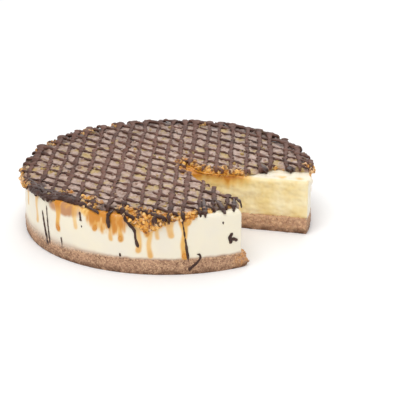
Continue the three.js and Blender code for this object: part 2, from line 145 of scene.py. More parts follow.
# The big clump of nuts that hangs over the side, and how fast its edge climbs to the left and the right
CLUMP_DEGREES = -98.8
CLUMP_HALF_WIDTH = 9.0
CLUMP_LOW = 36.6
CLUMP_SLOPES = (2.3, 0.8)

# Where the topping ends short of the rim: angle, half width, half width at full depth, and the depth
BARE_RIM = [(CREAM_CUT["near"], 24, 8, 9.5), (-85, 8, 3, 2.2), (-123, 19, 13, 7.0)]
BARE_REACH = (96, 108)
# The cream stands higher there, and so do the nuts
BARE_RISE = 2.4
BARE_LIFT = 1.1

# Where golden nuts show at the rim: angle and half width in degrees, and how far in they reach
GOLDEN_RIM = [
    (-168, 12, 0), (-122, 5, 8), (-104, 9, 9), (-95, 12, 13), (-84, 10, 5), (-73.5, 3, 2), (-64.5, 3, 1),
    (-4, 6, 9), (150, 4, 8), (130, 4, 13), (114, 3, 12), (72.7, 3, 15),
]
# Round this angle, for so many degrees on both sides, golden nuts show only where the list has them
LISTED_DEGREES, LISTED_HALF_WIDTH = -110, 55
# Golden nuts that show between the lines further in: x, y and radius
GOLDEN_PATCHES = [(-83, -67, 7), (-64, -87, 9)]
# Chocolate that lies thick on the nuts: x, y and radius
DARK_PATCHES = [(81, -12, 7), (105, -9, 6), (-108, -50, 9), (-91, -77, 8)]

# Two families of chocolate lines, the second one over the first: direction, pitch and width, the seed of
# the spacing, the phase of the first line's wander and how much is added to it from line to line, the height
# above the nuts, the rise where a line crosses the other family, and how light the chocolate is
UNDER = {
    "degrees": 140.0, "pitch": 12.9, "width": 2.9, "seed": 11, "phase": 0.0, "phase_step": 1.7,
    "lift": 0.25, "crossing": 0.0, "light": 0.46,
}
OVER = {
    "degrees": 86.0, "pitch": 11.9, "width": 3.0, "seed": 23, "phase": 1.0, "phase_step": 2.9,
    "lift": 0.4, "crossing": 0.5, "light": 0.66,
}
FIELD_REACH = 134.0
PITCH_JITTER = 0.34
LINE_WANDER = 1.1
CROSSING_HALF_WIDTH = 4.5
# A stretch with fewer points isn't poured
FEWEST_POINTS = 7
# The rim in front, where the lines' ends hang lower, and the stretch beside the near corner where they are
# thinner, darker and shaped like hooks: angle and half width
FRONT_RIM = (-90, 55)
HOOKED_RIM = (-71, 16)
HOOKED_REACH = (98, 110)
# The lines grow darker towards the rim in front, and end in thick blobs on the rim at the back: how far out
# and over which y that grows
FRONT_REACH, FRONT_Y = (88, 118), (0, -50)
BLOB_REACH, BLOB_Y = (108, 118), (-30, 50)
# A line that ends further out than this ends on the rim
LINE_ENDS_ON_RIM = 114

# Thick chocolate spilled along the front left rim in several strokes: x, y and z of each bend
SPILL = [
    (-125, -12, 49.4),
    (-118, -37, 50.0),
    (-104.5, -60, 50.4),
    (-88, -77, 51.0),
    (-72, -88, 51.3),
    (-60, -97, 51.2),
    (-56, -104, 50.4),
]
SPILL_STROKES = 4
SPILL_REACH = 3.0
SPILL_WIDTH = 3.6
SPILL_EDGE = 124.6
# How light the thick chocolate is, from 0 to 1
SPILL_TONE, DRIP_TONE, MARK_TONE = 0.1, 0.05, 0.1
# Thick drips over the edge: five hooks beside the near cut, the spill's tail and the drip beside it, and two
# heavy ones over the bare cream beside the far cut. Each has x, y and z of its bends, then its width
EDGE_DRIPS = [
    ([(28.1, -90, 51.9), (28, -104, 51.8), (28.2, -113, 50.6), (28.4, -118, 49.2),
      (28.4, -121.5, 47.6)], 3.8),
    ([(31.3, -101, 51.7), (33.4, -107.5, 50.8), (34.6, -111, 49.7), (35.8, -115, 48.9)], 1.6),
    ([(37.6, -93, 51.9), (40.4, -102, 51.7), (42.6, -109.5, 50.4), (43.6, -113.5, 49.1),
      (44.4, -116, 48.4)], 4),
    ([(52.6, -90, 51.9), (51.9, -99, 51.8), (51.5, -105.5, 50.6), (51.3, -109.5, 49.2),
      (51.2, -111.5, 48.2)], 3.6),
    ([(49, -87, 51.8), (54.4, -91, 51.6), (56.6, -95, 50.8), (57.6, -98.5, 49.4), (57.8, -101, 47.6)], 2.6),
    ([(-69, -93, 51), (-65, -99.5, 50.3), (-61, -104.5, 49.6), (-57, -109, 49.1),
      (-54.8, -111.8, 47.8)], 3.2),
    ([(-41, -104, 51.5), (-44.2, -110.5, 50), (-46.7, -114.4, 48.9), (-47.4, -115.7, 46),
      (-46.8, -115.7, 37)], 3.2),
    ([(80.5, -4, 50.6), (82, -11, 50), (83, -15.5, 48.6), (83.4, -18.5, 47.2)], 6),
    ([(102.5, -1, 49.8), (103.5, -8, 49.6), (104.3, -13, 48.6), (104.8, -17.5, 47)], 6.6),
]

# Chocolate that ran or was flicked onto the wall: angle and height of each bend, then the width
CHOCOLATE_MARKS = [
    ([(-105.6, 51), (-104.8, 44.5), (-102.6, 38), (-102.1, 30), (-101.0, 22)], 3.2),
    ([(-94.6, 51), (-94.4, 46), (-93.2, 41.5)], 3.8),
    ([(-91.6, 50.5), (-91.8, 47)], 4.2),
    ([(-143.1, 41), (-142.6, 24), (-141.3, 7)], 1.8),
    ([(-146.4, 35), (-145.6, 27), (-144.6, 19), (-142.8, 7)], 3.0),
    ([(-143.4, 49), (-143.2, 45)], 2.2),
    ([(-134.6, 19), (-134.0, 10)], 1.6),
    ([(-124.6, 46), (-124.2, 38)], 2.4),
    ([(-108.2, 17), (-108.0, 13.8)], 2.2),
    ([(-85.2, 48), (-84.0, 30), (-82.9, 11.5)], 2.3),
    ([(-79.8, 16.8), (-78.7, 16.2), (-78.5, 13.4), (-79.8, 9.6), (-81.6, 6.2), (-82.5, 4.8),
      (-82.6, 2.8)], 2.7),
    ([(-66.0, 31.2), (-67.1, 27.2), (-66.4, 22.2)], 3.7),
    ([(-66.7, 25.6), (-65.3, 25.6), (-63.9, 23.8)], 3.5),
    ([(-69.9, 42.0), (-69.7, 39.6)], 2.4),
    ([(-124.0, 34.8), (-123.9, 32.8)], 2.2),
]

# Caramel that ran down the wall: angle, lowest height, width and how dark it is from 0 to 1
CARAMEL_RUNS = [
    (-161, 29, 4.0, 0.5),
    (-151, 21, 4.6, 0.3),
    (-136, 23, 5.4, 1.0),
    (-127, 30, 4.0, 0.15),
    (-118, 32, 4.6, 0.9),
    (-115, 34, 6.0, 0.4),
    (-111.5, 26, 3.6, 0.4),
    (-108, 26, 4.6, 0.75),
    (-101, 18, 4.6, 0.45),
    (-97, 14, 4.4, 0.45),
    (-94, 30, 3.4, 0.25),
    (-89.4, 31, 5.0, 0.35),
    (-84.5, 12.5, 5.2, 0.85),
    (-83.2, 40.5, 5.2, 0.55),
]
RUN_THICKNESS = 0.45
# Runs made by rule on the rest of the wall: first and last angle, how far apart they are, their least width
# and how much may be added to it
RULE_RUNS = (-8, 194)
RULE_RUN_SPACING = 17
RULE_RUN_LEAST, RULE_RUN_MORE = 3.2, 2.2
# A run that is darker than this ends in a thick drop
DARK_RUN = 0.5
# The wall that caramel soaked all over, its darker upper part, the smear of crumbs beside it, and the
# stretch of the shoulder that counts as wall there: angle and half width, and how far out the last one starts
AMBER = (-113, 13)
HIGH_AMBER = (-113, 12)
SMEAR = (-133, 13)
AMBER_SHOULDER = (-122, 22, 113)

# The band of caramel that tore off along the inner far edge of the topping
TORN_CARAMEL = [
    (14, 7, 47.4), (20, 0, 47.2), (26, -10, 47), (38, -16.5, 46.8), (52, -20.5, 46.8), (64, -24, 46.6)
]
TORN_WIDTH = 2.2
TORN_TONE = 0.85
TORN_SOAK = 13.0
# Spots of caramel on the bare cream beside the far cut: x, y and radius
SHELF_STAINS = [(97, -25, 7), (111, -29, 7)]

# Poured beads: how thick they are for their width, how uneven, the sides of the profile, and how large the
# uneven spots are
BEADS = {
    "lattice_under": (0.42, 0.9, 10, 4),
    "lattice_over": (0.28, 1.1, 10, 4),
    "spilled_chocolate": (0.36, 1.6, 10, 4),
    "chocolate_on_wall": (0.4, 0.7, 10, 4),
    "caramel_drops": (0.3, 0.3, 12, 5),
    "torn_caramel": (0.3, 2.4, 12, 5),
}

# The lights: place in metres, width, and share of the key light's power
LIGHTS = {"key": ((-0.25, -0.6, 1.3), 0.9, 1.0), "back": ((0.3, 1.1, 0.9), 1.0, 0.45)}
SENSOR_WIDTH = 36


def seeded(seed):
    """A repeatable stream of numbers from 0 to 1."""
    mask = 0xFFFFFFFF
    state = seed
    while True:
        state = (state + 0x6D2B79F5) & mask
        mixed = ((state ^ (state >> 15)) * (state | 1)) & mask
        mixed ^= (mixed + (mixed ^ (mixed >> 7)) * (mixed | 61)) & mask
        yield ((mixed ^ (mixed >> 14)) & mask) / (mask + 1)


def wave(at, phase):
    """A smooth uneven wave from -1 to 1."""
    parts = ((0.5, 0.11, 1), (0.3, 0.29, 2.3), (0.2, 0.67, 4.1))
    return sum(height * np.sin(at * pace + phase * shift) for height, pace, shift in parts)


def hump(distance, half_width):
    """A soft hump: 1 at distance 0, and 0 from the half width on."""
    share = np.minimum(1, np.abs(distance) / half_width)
    return (1 - share * share) ** 2


def hump_at(values, place):
    """A soft hump of height 1 at a place, which is its middle and its half width."""
    middle, half_width = place
    return hump(values - middle, half_width)


def stands_out(place, across, up):
    """How far a bulge stands out at points so far across and up."""
    return place["out"] * hump_at(across, place["across"]) * hump_at(up, place["up"])


def smoothstep(value, low, high):
    share = np.clip((value - low) / (high - low), 0, 1)
    return share * share * (3 - 2 * share)


def polar(radius, degrees):
    angle = np.radians(degrees)
    return np.stack([radius * np.cos(angle), radius * np.sin(angle)], axis=-1)


def turn_of(points):
    """The angle of each point from +X, from -180 to 180."""
    return np.degrees(np.arctan2(points[..., 1], points[..., 0]))


def reach_of(points):
    """How far out each point lies, seen from above."""
    return np.linalg.norm(points[..., :2], axis=-1)


def apart(points, place):
    """How far each point is from a place, seen from above."""
    return reach_of(points[..., :2] - place)


def in_patches(points, patches, ragged, soft):
    """How much each point belongs to a patch, from 0 to 1. A patch is x, y and radius."""
    distances = ((apart(points, (x, y)) - ragged, radius) for x, y, radius in patches)
    return np.maximum.reduce([smoothstep(away, radius, radius - soft) for away, radius in distances])


def degrees_apart(a, b):
    return (a - b + 180) % 360 - 180


def unit(vectors):
    """Each vector at length 1."""
    return vectors / np.linalg.norm(vectors, axis=-1)[..., None]


def fractal(points, grain, octaves, seed):
    """Soft noise of about -1 to 1 at points (n, 3), with lumps about as large as grain."""
    shift = Vector((seed * 7.3, seed * 3.1, seed * 5.7))
    places = (Vector(point) / grain + shift for point in points.tolist())
    return np.array([noise.fractal(place, 1.0, 2.0, octaves) for place in places])


def pebbles(points, size, seed):
    """Heights from 0, between pebbles, to 1 on top of them, each pebble with a height of its own."""
    shift = Vector((seed * 3.7, seed * 9.1, seed * 2.3))
    heights = np.empty(len(points))
    for i, point in enumerate(points.tolist()):
        near, places = noise.voronoi(Vector(point) / size + shift)
        own = 0.55 + 0.45 * math.sin(places[0].x * 91.7 + places[0].y * 47.1 + places[0].z * 23.3)
        heights[i] = min(1.0, (near[1] - near[0]) * 2.2) * own
    return heights


def with_height(flat, height):
    return np.column_stack([flat, np.broadcast_to(height, len(flat))])


def raised(points):
    """The points after the cake's back has risen."""
    points = np.array(points, float)
    high_up = smoothstep(points[:, 2], *RISING_HEIGHTS)
    points[:, 2] += BACK_RISE * smoothstep(points[:, 1], *RISING_Y) * high_up
    return points


def crumb_dust(points, seam):
    """How much biscuit shows at each point of the wall: all of it low down, none a little over the seam."""
    left = smoothstep(turn_of(points), -100, -160)
    uneven = 0.9 * fractal(points, 8, 3, 6)
    return 1 - smoothstep(points[:, 2] + uneven, seam - 0.8 - 6.5 * left, seam + 2.2 + 5.0 * left)


def bare_depth(points):
    """How far from the rim the topping ends at each point near the rim."""
    turn = turn_of(points)
    depth = np.zeros(len(points))
    for degrees, wide, narrow, deep in BARE_RIM:
        depth = np.maximum(depth, deep * smoothstep(np.abs(degrees_apart(turn, degrees)), wide, narrow))
    return depth * smoothstep(reach_of(points), *BARE_REACH)


def bare_rim(points):
    """Where the cream stands bare at the rim, from 0 to 1."""
    return smoothstep(bare_depth(points), 0, 4)


def bowed_cut(start, end, bow, step):
    """Points of a knife cut between start and end, bowed to the right, without its two ends."""
    start, end = np.array(start), np.array(end)
    count = round(np.linalg.norm(end - start) / step)
    share = np.arange(1, count) / count
    along = unit(end - start)
    aside = bow * np.sin(np.pi * share)
    return start + share[:, None] * (end - start) + aside[:, None] * np.array((along[1], -along[0]))


def rim_degrees(first, last, radius, step):
    """Angles about a step apart from the first one round the cake to the last one."""
    sweep = 360 + last - first
    steps = round(math.radians(sweep) * radius / step)
    return first + sweep * np.arange(steps + 1) / steps


def outward(loop):
    """The outward direction at each point of an anticlockwise loop."""
    along = unit(np.roll(loop, -1, axis=0) - np.roll(loop, 1, axis=0))
    return np.column_stack([along[:, 1], -along[:, 0]])


def layer_outline(radius, cut, step):
    """The closed anticlockwise outline of a layer, its outward directions, and 1 where it is on the rim."""
    rim = polar(radius, rim_degrees(cut["far"], cut["near"], radius, step))
    near_bow, far_bow = cut["bows"]
    far_cut = bowed_cut(cut["tip"], rim[0], far_bow, step)
    near_cut = bowed_cut(rim[-1], cut["tip"], near_bow, step)
    loop = np.vstack([[cut["tip"]], far_cut, rim, near_cut])
    on_rim = np.zeros(len(loop))
    first, last = len(far_cut) + 1, len(far_cut) + len(rim)
    on_rim[first : last + 1] = 1
    out = outward(loop)
    out[first], out[last] = out[first + 1], out[last - 1]
    return loop, out, on_rim


def pulled_in(loop, out, on_rim, inset):
    """The outline moved inwards, and mitred at the two corners where the rim ends."""
    rim = np.flatnonzero(on_rim)
    moved = loop - inset * out
    for corner, inner in ((rim[0], rim[1]), (rim[-1], rim[-2])):
        away = loop - loop[corner]
        away[corner] = loop[inner] - loop[corner]
        near = np.linalg.norm(away, axis=1)
        away /= near[:, None]
        near[corner] = 0
        moved += away * np.maximum(0, inset - 0.85 * near)[:, None]
    return moved


def neighbours(first, count):
    """The pairs of neighbouring points round a loop of count points, by number from the first one on."""
    return [(first + i, first + (i + 1) % count) for i in range(count)]


def band(low, high, count):
    """The faces between two loops of count points, given the number of each one's first point."""
    return [(a, b, d, c) for (a, b), (c, d) in zip(neighbours(low, count), neighbours(high, count))]


def stack(loops, centre_low, centre_high):
    """Vertices and faces of a closed shell through equal loops, with a fan to a centre at each end."""
    levels, count = loops.shape[:2]
    verts = np.vstack([loops.reshape(-1, 3), centre_low, centre_high])
    faces = []
    for level in range(levels - 1):
        faces += band(level * count, (level + 1) * count, count)
    bottom = levels * count
    faces += [(b, a, bottom) for a, b in neighbours(0, count)]
    faces += [(a, b, bottom + 1) for a, b in neighbours(bottom - count, count)]
    return verts, faces


def inside(points, loop):
    """True for each point that lies inside the closed loop."""
    x0, y0 = loop[:, 0], loop[:, 1]
    x1, y1 = np.roll(x0, -1), np.roll(y0, -1)
    slope = (x1 - x0) / np.where(y1 == y0, 1e-9, y1 - y0)
    found = []
    for part in np.array_split(points, max(1, len(points) // 2000)):
        x, y = part[:, :1], part[:, 1:2]
        crossed = ((y0 > y) != (y1 > y)) & (x < slope * (y - y0) + x0)
        found.append(crossed.sum(axis=1) % 2 == 1)
    return np.concatenate(found)


def inside_stretches(path, loop, least):
    """The stretches of a path that lie inside the loop and have at least so many points."""
    marks = inside(path, loop).astype(int)
    edges = np.flatnonzero(np.diff(np.concatenate([[0], marks, [0]])))
    return [path[start:end] for start, end in zip(edges[::2], edges[1::2]) if end - start >= least]


def fill_region(loop, inner):
    """Points and triangles over a flat closed loop and the loose points inside it."""
    flat = np.vstack([loop, inner])
    rim = list(range(len(loop)))
    made = geometry.delaunay_2d_cdt([Vector(p) for p in flat.tolist()], [], [rim], 1, 1e-6, False)
    faces = np.array(made[2])
    on_loop = (faces < len(loop)).all(axis=1)
    keep = np.ones(len(faces), bool)
    keep[on_loop] = inside(flat[faces[on_loop]].mean(axis=1), loop)
    return flat, faces[keep]


def smooth_curve(knots, step):
    """Points a step apart along a curve through the knots, both ends included."""
    knots = np.array(knots, float)
    padded = np.vstack([knots[:1], knots, knots[-1:]])
    pieces = []
    share = np.linspace(0, 1, 40, endpoint=False)[:, None]
    for i in range(len(knots) - 1):
        p0, p1, p2, p3 = padded[i : i + 4]
        v0, v1 = (p2 - p0) / 2, (p3 - p1) / 2
        cubic, square = 2 * p1 - 2 * p2 + v0 + v1, 3 * p2 - 3 * p1 - 2 * v0 - v1
        pieces.append(cubic * share**3 + square * share**2 + v0 * share + p1)
    dense = np.vstack([*pieces, knots[-1:]])
    run = np.concatenate([[0], np.cumsum(np.linalg.norm(np.diff(dense, axis=0), axis=1))])
    at = np.linspace(0, run[-1], max(2, round(run[-1] / step) + 1))
    return np.column_stack([np.interp(at, run, column) for column in dense.T])


def nearest_to(loop):
    """A search tree over the points of a flat loop."""
    tree = kdtree.KDTree(len(loop))
    for i, point in enumerate(loop.tolist()):
        tree.insert((*point, 0), i)
    tree.balance()
    return tree


def found_near(tree, points):
    """The number of the nearest point in the tree to each point, seen from above, and the distance."""
    found = [tree.find((*point, 0)) for point in points[:, :2].tolist()]
    return np.array([item[1] for item in found]), np.array([item[2] for item in found])


def shares(points):
    """Numbers from 0 to 1 along the points."""
    return np.linspace(0, 1, len(points))


def tapered(share, blunt, fullness):
    """The width along a path that narrows to both of its ends."""
    return np.minimum(1, fullness * np.sin(np.pi * np.clip(share, blunt, 1 - blunt)))


def linked(name, data):
    """A new object with the given data, linked to the scene."""
    thing = bpy.data.objects.new(name, data)
    bpy.context.scene.collection.objects.link(thing)
    return thing


def store(mesh, key, values):
    """Keeps a number or a vector for each point of the mesh."""
    values = np.asarray(values, np.float32)
    kind, field = ("FLOAT", "value") if values.ndim == 1 else ("FLOAT_VECTOR", "vector")
    mesh.attributes.new(key, kind, "POINT").data.foreach_set(field, values.ravel())


def places_of(mesh):
    """The points of the mesh in millimetres."""
    places = np.empty(len(mesh.vertices) * 3)
    mesh.vertices.foreach_get("co", places)
    return places.reshape(-1, 3) / MM


def mesh_object(name, verts_mm, faces, attributes, edges=()):
    """A smooth linked object from vertices in millimetres, with the attributes of its points."""
    mesh = bpy.data.meshes.new(name)
    mesh.from_pydata((np.asarray(verts_mm) * MM).tolist(), edges, faces)
    for key, values in attributes.items():
        store(mesh, key, values)
    mesh.validate()
    mesh.shade_smooth()
    return linked(name, mesh)


def path_object(name, paths):
    """Paths as a mesh of edges. A path is its points, the way it faces, its half widths and its tone."""
    verts, facing, widths, tones = (list(parts) for parts in zip(*paths))
    tones = [np.broadcast_to(tone, len(points)) for tone, points in zip(tones, verts)]
    edges, first = [], 0
    for points in verts:
        edges += [(first + i, first + i + 1) for i in range(len(points) - 1)]
        first += len(points)
    attributes = {
        "facing": np.vstack(facing),
        "half_width": np.concatenate(widths) * MM,
        "tone": np.concatenate(tones),
    }
    return mesh_object(name, raised(np.vstack(verts)), [], attributes, edges)


def serve(piece, slot, node, material):
    """Gives a finished piece its material, hangs it on the root body and hides the part it stands for."""
    piece.data.materials.clear()
    piece.data.materials.append(material)
    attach(piece, "root")
    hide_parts(node)


class Finish:
    """A material being made, with short calls for its nodes."""

    def __init__(self, name, roughness, **fixed):
        self.material = bpy.data.materials.new(name)
        self.material.use_nodes = True
        self.nodes = self.material.node_tree.nodes
        self.links = self.material.node_tree.links
        self.shader = self.nodes["Principled BSDF"]
        self.shader.inputs["Roughness"].default_value = roughness
        for key, value in fixed.items():
            self.shader.inputs[key.replace("_", " ")].default_value = value
        self.coordinates = self.nodes.new("ShaderNodeTexCoord").outputs["Object"]

    def put(self, value, socket):
        if isinstance(value, bpy.types.NodeSocket):
            self.links.new(value, socket)
        else:
            socket.default_value = value

    def texture(self, kind, size_mm, output, **inputs):
        node = self.nodes.new(kind)
        self.links.new(self.coordinates, node.inputs["Vector"])
        for key, value in {"Scale": 1 / (size_mm * MM), **inputs}.items():
            node.inputs[key].default_value = value
        return node.outputs[output]

    def noise(self, size_mm, detail=3, roughness=0.55):
        return self.texture("ShaderNodeTexNoise", size_mm, "Fac", Detail=detail, Roughness=roughness)

    def grains(self, size_mm, output="Distance"):
        return self.texture("ShaderNodeTexVoronoi", size_mm, output)

    def attribute(self, name):
        node = self.nodes.new("ShaderNodeAttribute")
        node.attribute_name = name
        return node.outputs["Fac"]

    def height(self):
        node = self.nodes.new("ShaderNodeSeparateXYZ")
        self.links.new(self.coordinates, node.inputs[0])
        return node.outputs["Z"]

    def span(self, value, low, high, to_low=0.0, to_high=1.0):
        node = self.nodes.new("ShaderNodeMapRange")
        node.interpolation_type = "SMOOTHSTEP"
        self.put(value, node.inputs["Value"])
        for key, number in zip(("From Min", "From Max", "To Min", "To Max"), (low, high, to_low, to_high)):
            node.inputs[key].default_value = number
        return node.outputs["Result"]

    def math(self, operation, a, b):
        node = self.nodes.new("ShaderNodeMath")
        node.operation = operation
        self.put(a, node.inputs[0])
        self.put(b, node.inputs[1])
        return node.outputs[0]

    def mix(self, factor, *pair):
        node = self.nodes.new("ShaderNodeMix")
        node.data_type = "RGBA"
        self.put(factor, node.inputs[0])
        for socket, color in zip((node.inputs[6], node.inputs[7]), pair):
            self.put(color if isinstance(color, bpy.types.NodeSocket) else (*color, 1.0), socket)
        return node.outputs[2]

    def spotted(self, color, other, size_mm, low, high, most=1.0, detail=3, roughness=0.55):
        """The colour with soft spots of another: none where the noise is at low, and most of it at high."""
        return self.mix(self.span(self.noise(size_mm, detail, roughness), low, high, 0.0, most), color, other)

    def bump(self, height, distance_mm, strength=1.0, over=None):
        node = self.nodes.new("ShaderNodeBump")
        node.inputs["Strength"].default_value = strength
        node.inputs["Distance"].default_value = distance_mm * MM
        self.links.new(height, node.inputs["Height"])
        if over:
            self.links.new(over, node.inputs["Normal"])
        return node.outputs["Normal"]

    def done(self, color, normal=None):
        self.put(color, self.shader.inputs["Base Color"])
        if normal:
            self.links.new(normal, self.shader.inputs["Normal"])
        return self.material


def color_property(name, description, rgb):
    linear = [(c / 255 / 12.92) if c <= 10 else ((c / 255 + 0.055) / 1.055) ** 2.4 for c in rgb]
    return FloatVectorProperty(
        name=name, description=description, default=linear, size=3, subtype="COLOR", min=0, max=1
    )


def number_property(name, description, number, **limits):
    return FloatProperty(name=name, description=description, default=number, **limits)


def length_property(name, description, millimetres):
    return number_property(name, description, millimetres * MM, min=0, unit="LENGTH", subtype="DISTANCE")


class CakeSizes(bpy.types.PropertyGroup):
    filling_radius: length_property("Filling radius", "Radius of the smooth cream wall", 123.5)
    base_radius: length_property("Base radius", "Radius of the biscuit base", 123.9)
    topping_radius: length_property("Topping radius", "Radius at which the nut topping ends", 124.3)
    base_height: length_property("Base height", "Height of the biscuit base", 13.2)
    filling_top: length_property("Filling top", "Height of the cream under the nuts", 46.2)
    bed_top: length_property("Nut bed top", "Mean height of the nut bed between the lines", 50.0)
    fineness: length_property("Fineness", "Distance between points of the uneven surfaces", 0.85)


class ToppingAmounts(bpy.types.PropertyGroup):
    nut_spacing: length_property("Nut spacing", "Least distance between two chopped nuts", 3.3)
    nut_share: number_property("Nut share", "Share of the bed's nuts that stand out", 0.08, min=0, max=1)
    nut_seed: IntProperty(name="Nut seed", description="Seed of the places of the nuts", default=4)
    crumb_seed: IntProperty(name="Crumb seed", description="Seed of the places of the crumbs", default=9)


class CakeColors(bpy.types.PropertyGroup):
    biscuit: color_property("Biscuit", "Pressed biscuit of the outer wall", (180, 138, 110))
    biscuit_light: color_property("Light biscuit", "Biscuit where it is cut or broken", (220, 180, 142))
    biscuit_dark: color_property("Dark biscuit", "Toasted crumbs", (106, 72, 50))
    biscuit_gold: color_property("Golden biscuit", "Butter-rich crumbs at the broken corner", (214, 150, 84))
    cream: color_property("Cream", "Smooth outer wall of the filling", (236, 228, 211))
    cream_cut: color_property("Cut cream", "Filling where it is cut", (238, 214, 150))
    cream_pale: color_property("Pale cream", "Smears on the cut", (250, 239, 204))
    caramel: color_property("Caramel", "Thick caramel", (206, 130, 14))
    caramel_thin: color_property("Thin caramel", "Caramel soaked into the cream", (238, 190, 96))
    nut_gold: color_property("Golden nut", "Nuts in clear caramel", (240, 184, 92))
    # Partly the pale colour of broken nuts, partly a painted highlight on them
    pale_nut_and_highlight: color_property("Light nut", "Broken faces of the golden nuts", (246, 212, 178))
    nut_pale: color_property("Pale nut", "Nut flesh that shows through the veil", (190, 160, 92))
    # Nuts in dark caramel; on the golden nuts its spots also paint the shade in the gaps between them
    nut_dark: color_property("Dark nut", "Nuts in dark caramel", (112, 64, 30))
    veil: color_property("Veil", "Nuts under a thin veil of chocolate", (192, 164, 149))
    # Painted shade: the hollows between the veiled nuts, in a darker colour
    veil_hollow_shade: color_property("Dark veil", "Hollows between the veiled nuts", (152, 120, 102))
    chocolate: color_property("Chocolate", "Thin chocolate", (116, 81, 68))
    chocolate_dark: color_property("Dark chocolate", "Thick chocolate", (58, 34, 26))


class StageSettings(bpy.types.PropertyGroup):
    floor_width: length_property("Floor width", "Width of the square floor", 8000)
    floor_color: color_property("Floor", "Colour of the floor", (250, 250, 250))
    sky_strength: number_property("Sky", "Strength of the even white light", 0.75, min=0)
    key_power: number_property("Key light", "Power of the large soft light", 9.0, min=0)
    camera_lens: number_property("Lens", "Focal length in millimetres", 117.4, min=1)
    camera_distance: length_property("Camera distance", "From the cake's middle, along the floor", 1066.9)
    camera_height: length_property("Camera height", "Above the floor", 412.4)
    camera_tilt: number_property("Camera tilt", "How far it looks down", math.radians(20.32), subtype="ANGLE")
    camera_turn: number_property("Camera turn", "And to the right", math.radians(1.48), subtype="ANGLE")


def sizes_in_mm(context):
    """The sizes of the cake in millimetres, by name."""
    group = context.scene.cake_sizes
    return SimpleNamespace(**{key: getattr(group, key) / MM for key in group.__annotations__})


def biscuit_finish(colors):
    f = Finish("biscuit", 0.85)
    body = f.spotted(colors.biscuit, colors.biscuit_dark, 12, 0.35, 0.7, 0.52, 4)
    body = f.spotted(body, colors.biscuit_light, 1.5, 0.44, 0.62, 0.95, 5, 0.75)
    body = f.spotted(body, colors.biscuit_dark, 1.8, 0.5, 0.34, 0.8, 4, 0.7)
    cut = f.spotted(colors.biscuit, colors.biscuit_light, 3.5, 0.4, 0.62, 1, 5, 0.7)
    color = f.mix(f.math("MULTIPLY", f.attribute("fresh"), 0.8), body, cut)
    golden = f.math("MULTIPLY", f.attribute("broken"), f.span(f.noise(2.5, 4), 0.35, 0.6))
    color = f.mix(golden, color, colors.biscuit_gold)
    color = f.mix(f.span(f.grains(1.1, "Color"), 0.26, 0.05, 0, 0.7), color, colors.biscuit_dark)
    # Darker towards the bottom, in patches
    foot, patchy = f.span(f.height(), 7.0 * MM, 1.0 * MM), f.span(f.noise(7, 4, 0.7), 0.36, 0.6, 0.15, 1)
    color = f.mix(f.math("MULTIPLY", foot, patchy), color, colors.biscuit_dark)
    color = f.mix(f.attribute("dust"), colors.cream, color)
    normal = f.bump(f.noise(0.9, 4, 0.7), 0.4, 0.5)
    return f.done(color, f.bump(f.grains(1.3), 0.3, 0.4, normal))


def cream_finish(colors):
    f = Finish(
        "cream",
        0.42,
        Subsurface_Weight=0.25,
        Subsurface_Scale=0.004,
        Subsurface_Radius=(0.6, 0.55, 0.45),
        Coat_Weight=0.08,
    )
    torn = f.spotted(colors.cream_cut, colors.cream_pale, 15, 0.3, 0.75, 0.75, 5)
    wall = f.spotted(colors.cream, colors.cream_pale, 30, 0.3, 0.7, 0.35, 2)
    color = f.mix(f.attribute("cut"), wall, torn)
    color = f.mix(f.attribute("dust"), color, colors.biscuit)
    color = f.mix(f.attribute("soaked"), color, colors.caramel_thin)
    color = f.mix(f.attribute("scorched"), color, colors.caramel)
    return f.done(color, f.bump(f.noise(1.4, 5, 0.65), 0.2, 0.3))


def nut_colors(f, colors, golden, veiled):
    """Golden nuts at the open edges, veiled ones in the middle, dark ones where the chocolate is thick and as
    painted shade.
    """
    color = f.mix(f.attribute("veil"), golden, veiled)
    # The same dark colour paints the shade along the rim and beside the lines
    thick = f.spotted(colors.chocolate_dark, colors.chocolate, 3.2, 0.48, 0.72)
    return f.mix(f.attribute("thick"), color, thick)


def nut_bed_finish(colors):
    f = Finish("nut bed", 0.45, Coat_Weight=0.12, Coat_Roughness=0.25)
    golden = f.spotted(colors.caramel, colors.nut_gold, 2.6, 0.4, 0.64, detail=4)
    # Dark spots among the golden nuts: partly dark caramel, partly painted shade in the gaps
    golden = f.spotted(golden, colors.nut_dark, 4.1, 0.5, 0.66, 0.85)
    # Spots of painted shade for the hollows between the veiled nuts, large here and small two lines on
    veiled = f.spotted(colors.veil, colors.veil_hollow_shade, 7, 0.35, 0.65, detail=4)
    veiled = f.spotted(veiled, colors.nut_pale, 14, 0.52, 0.64, 0.8, 5, 0.6)
    veiled = f.spotted(veiled, colors.veil_hollow_shade, 2.4, 0.46, 0.3, 0.8, 3, 0.7)
    return f.done(nut_colors(f, colors, golden, veiled), f.bump(f.noise(1.6, 4, 0.65), 0.6, 0.7))


def nut_chip_finish(colors):
    f = Finish(
        "chopped nuts",
        0.35,
        Coat_Weight=0.2,
        Coat_Roughness=0.14,
        Subsurface_Weight=0.1,
        Subsurface_Scale=0.002,
    )
    tone = f.attribute("tone")
    golden = f.mix(f.span(tone, 0.1, 0.5), colors.caramel, colors.nut_gold)
    # The lightest chips are partly pale broken nuts, partly painted highlights
    golden = f.mix(f.span(tone, 0.6, 0.95, 0, 0.6), golden, colors.pale_nut_and_highlight)
    # Dark spots among the golden nuts: partly dark caramel, partly painted shade in the gaps
    golden = f.spotted(golden, colors.nut_dark, 3.4, 0.52, 0.4, 0.85, 3, 0.6)
    # The darkest chips take the painted shade of the hollows
    veiled = f.mix(f.span(tone, 0.1, 0.5), colors.veil_hollow_shade, colors.veil)
    veiled = f.mix(f.span(tone, 0.5, 0.8), veiled, colors.nut_pale)
    return f.done(nut_colors(f, colors, golden, veiled), f.bump(f.noise(0.8), 0.2, 0.4))


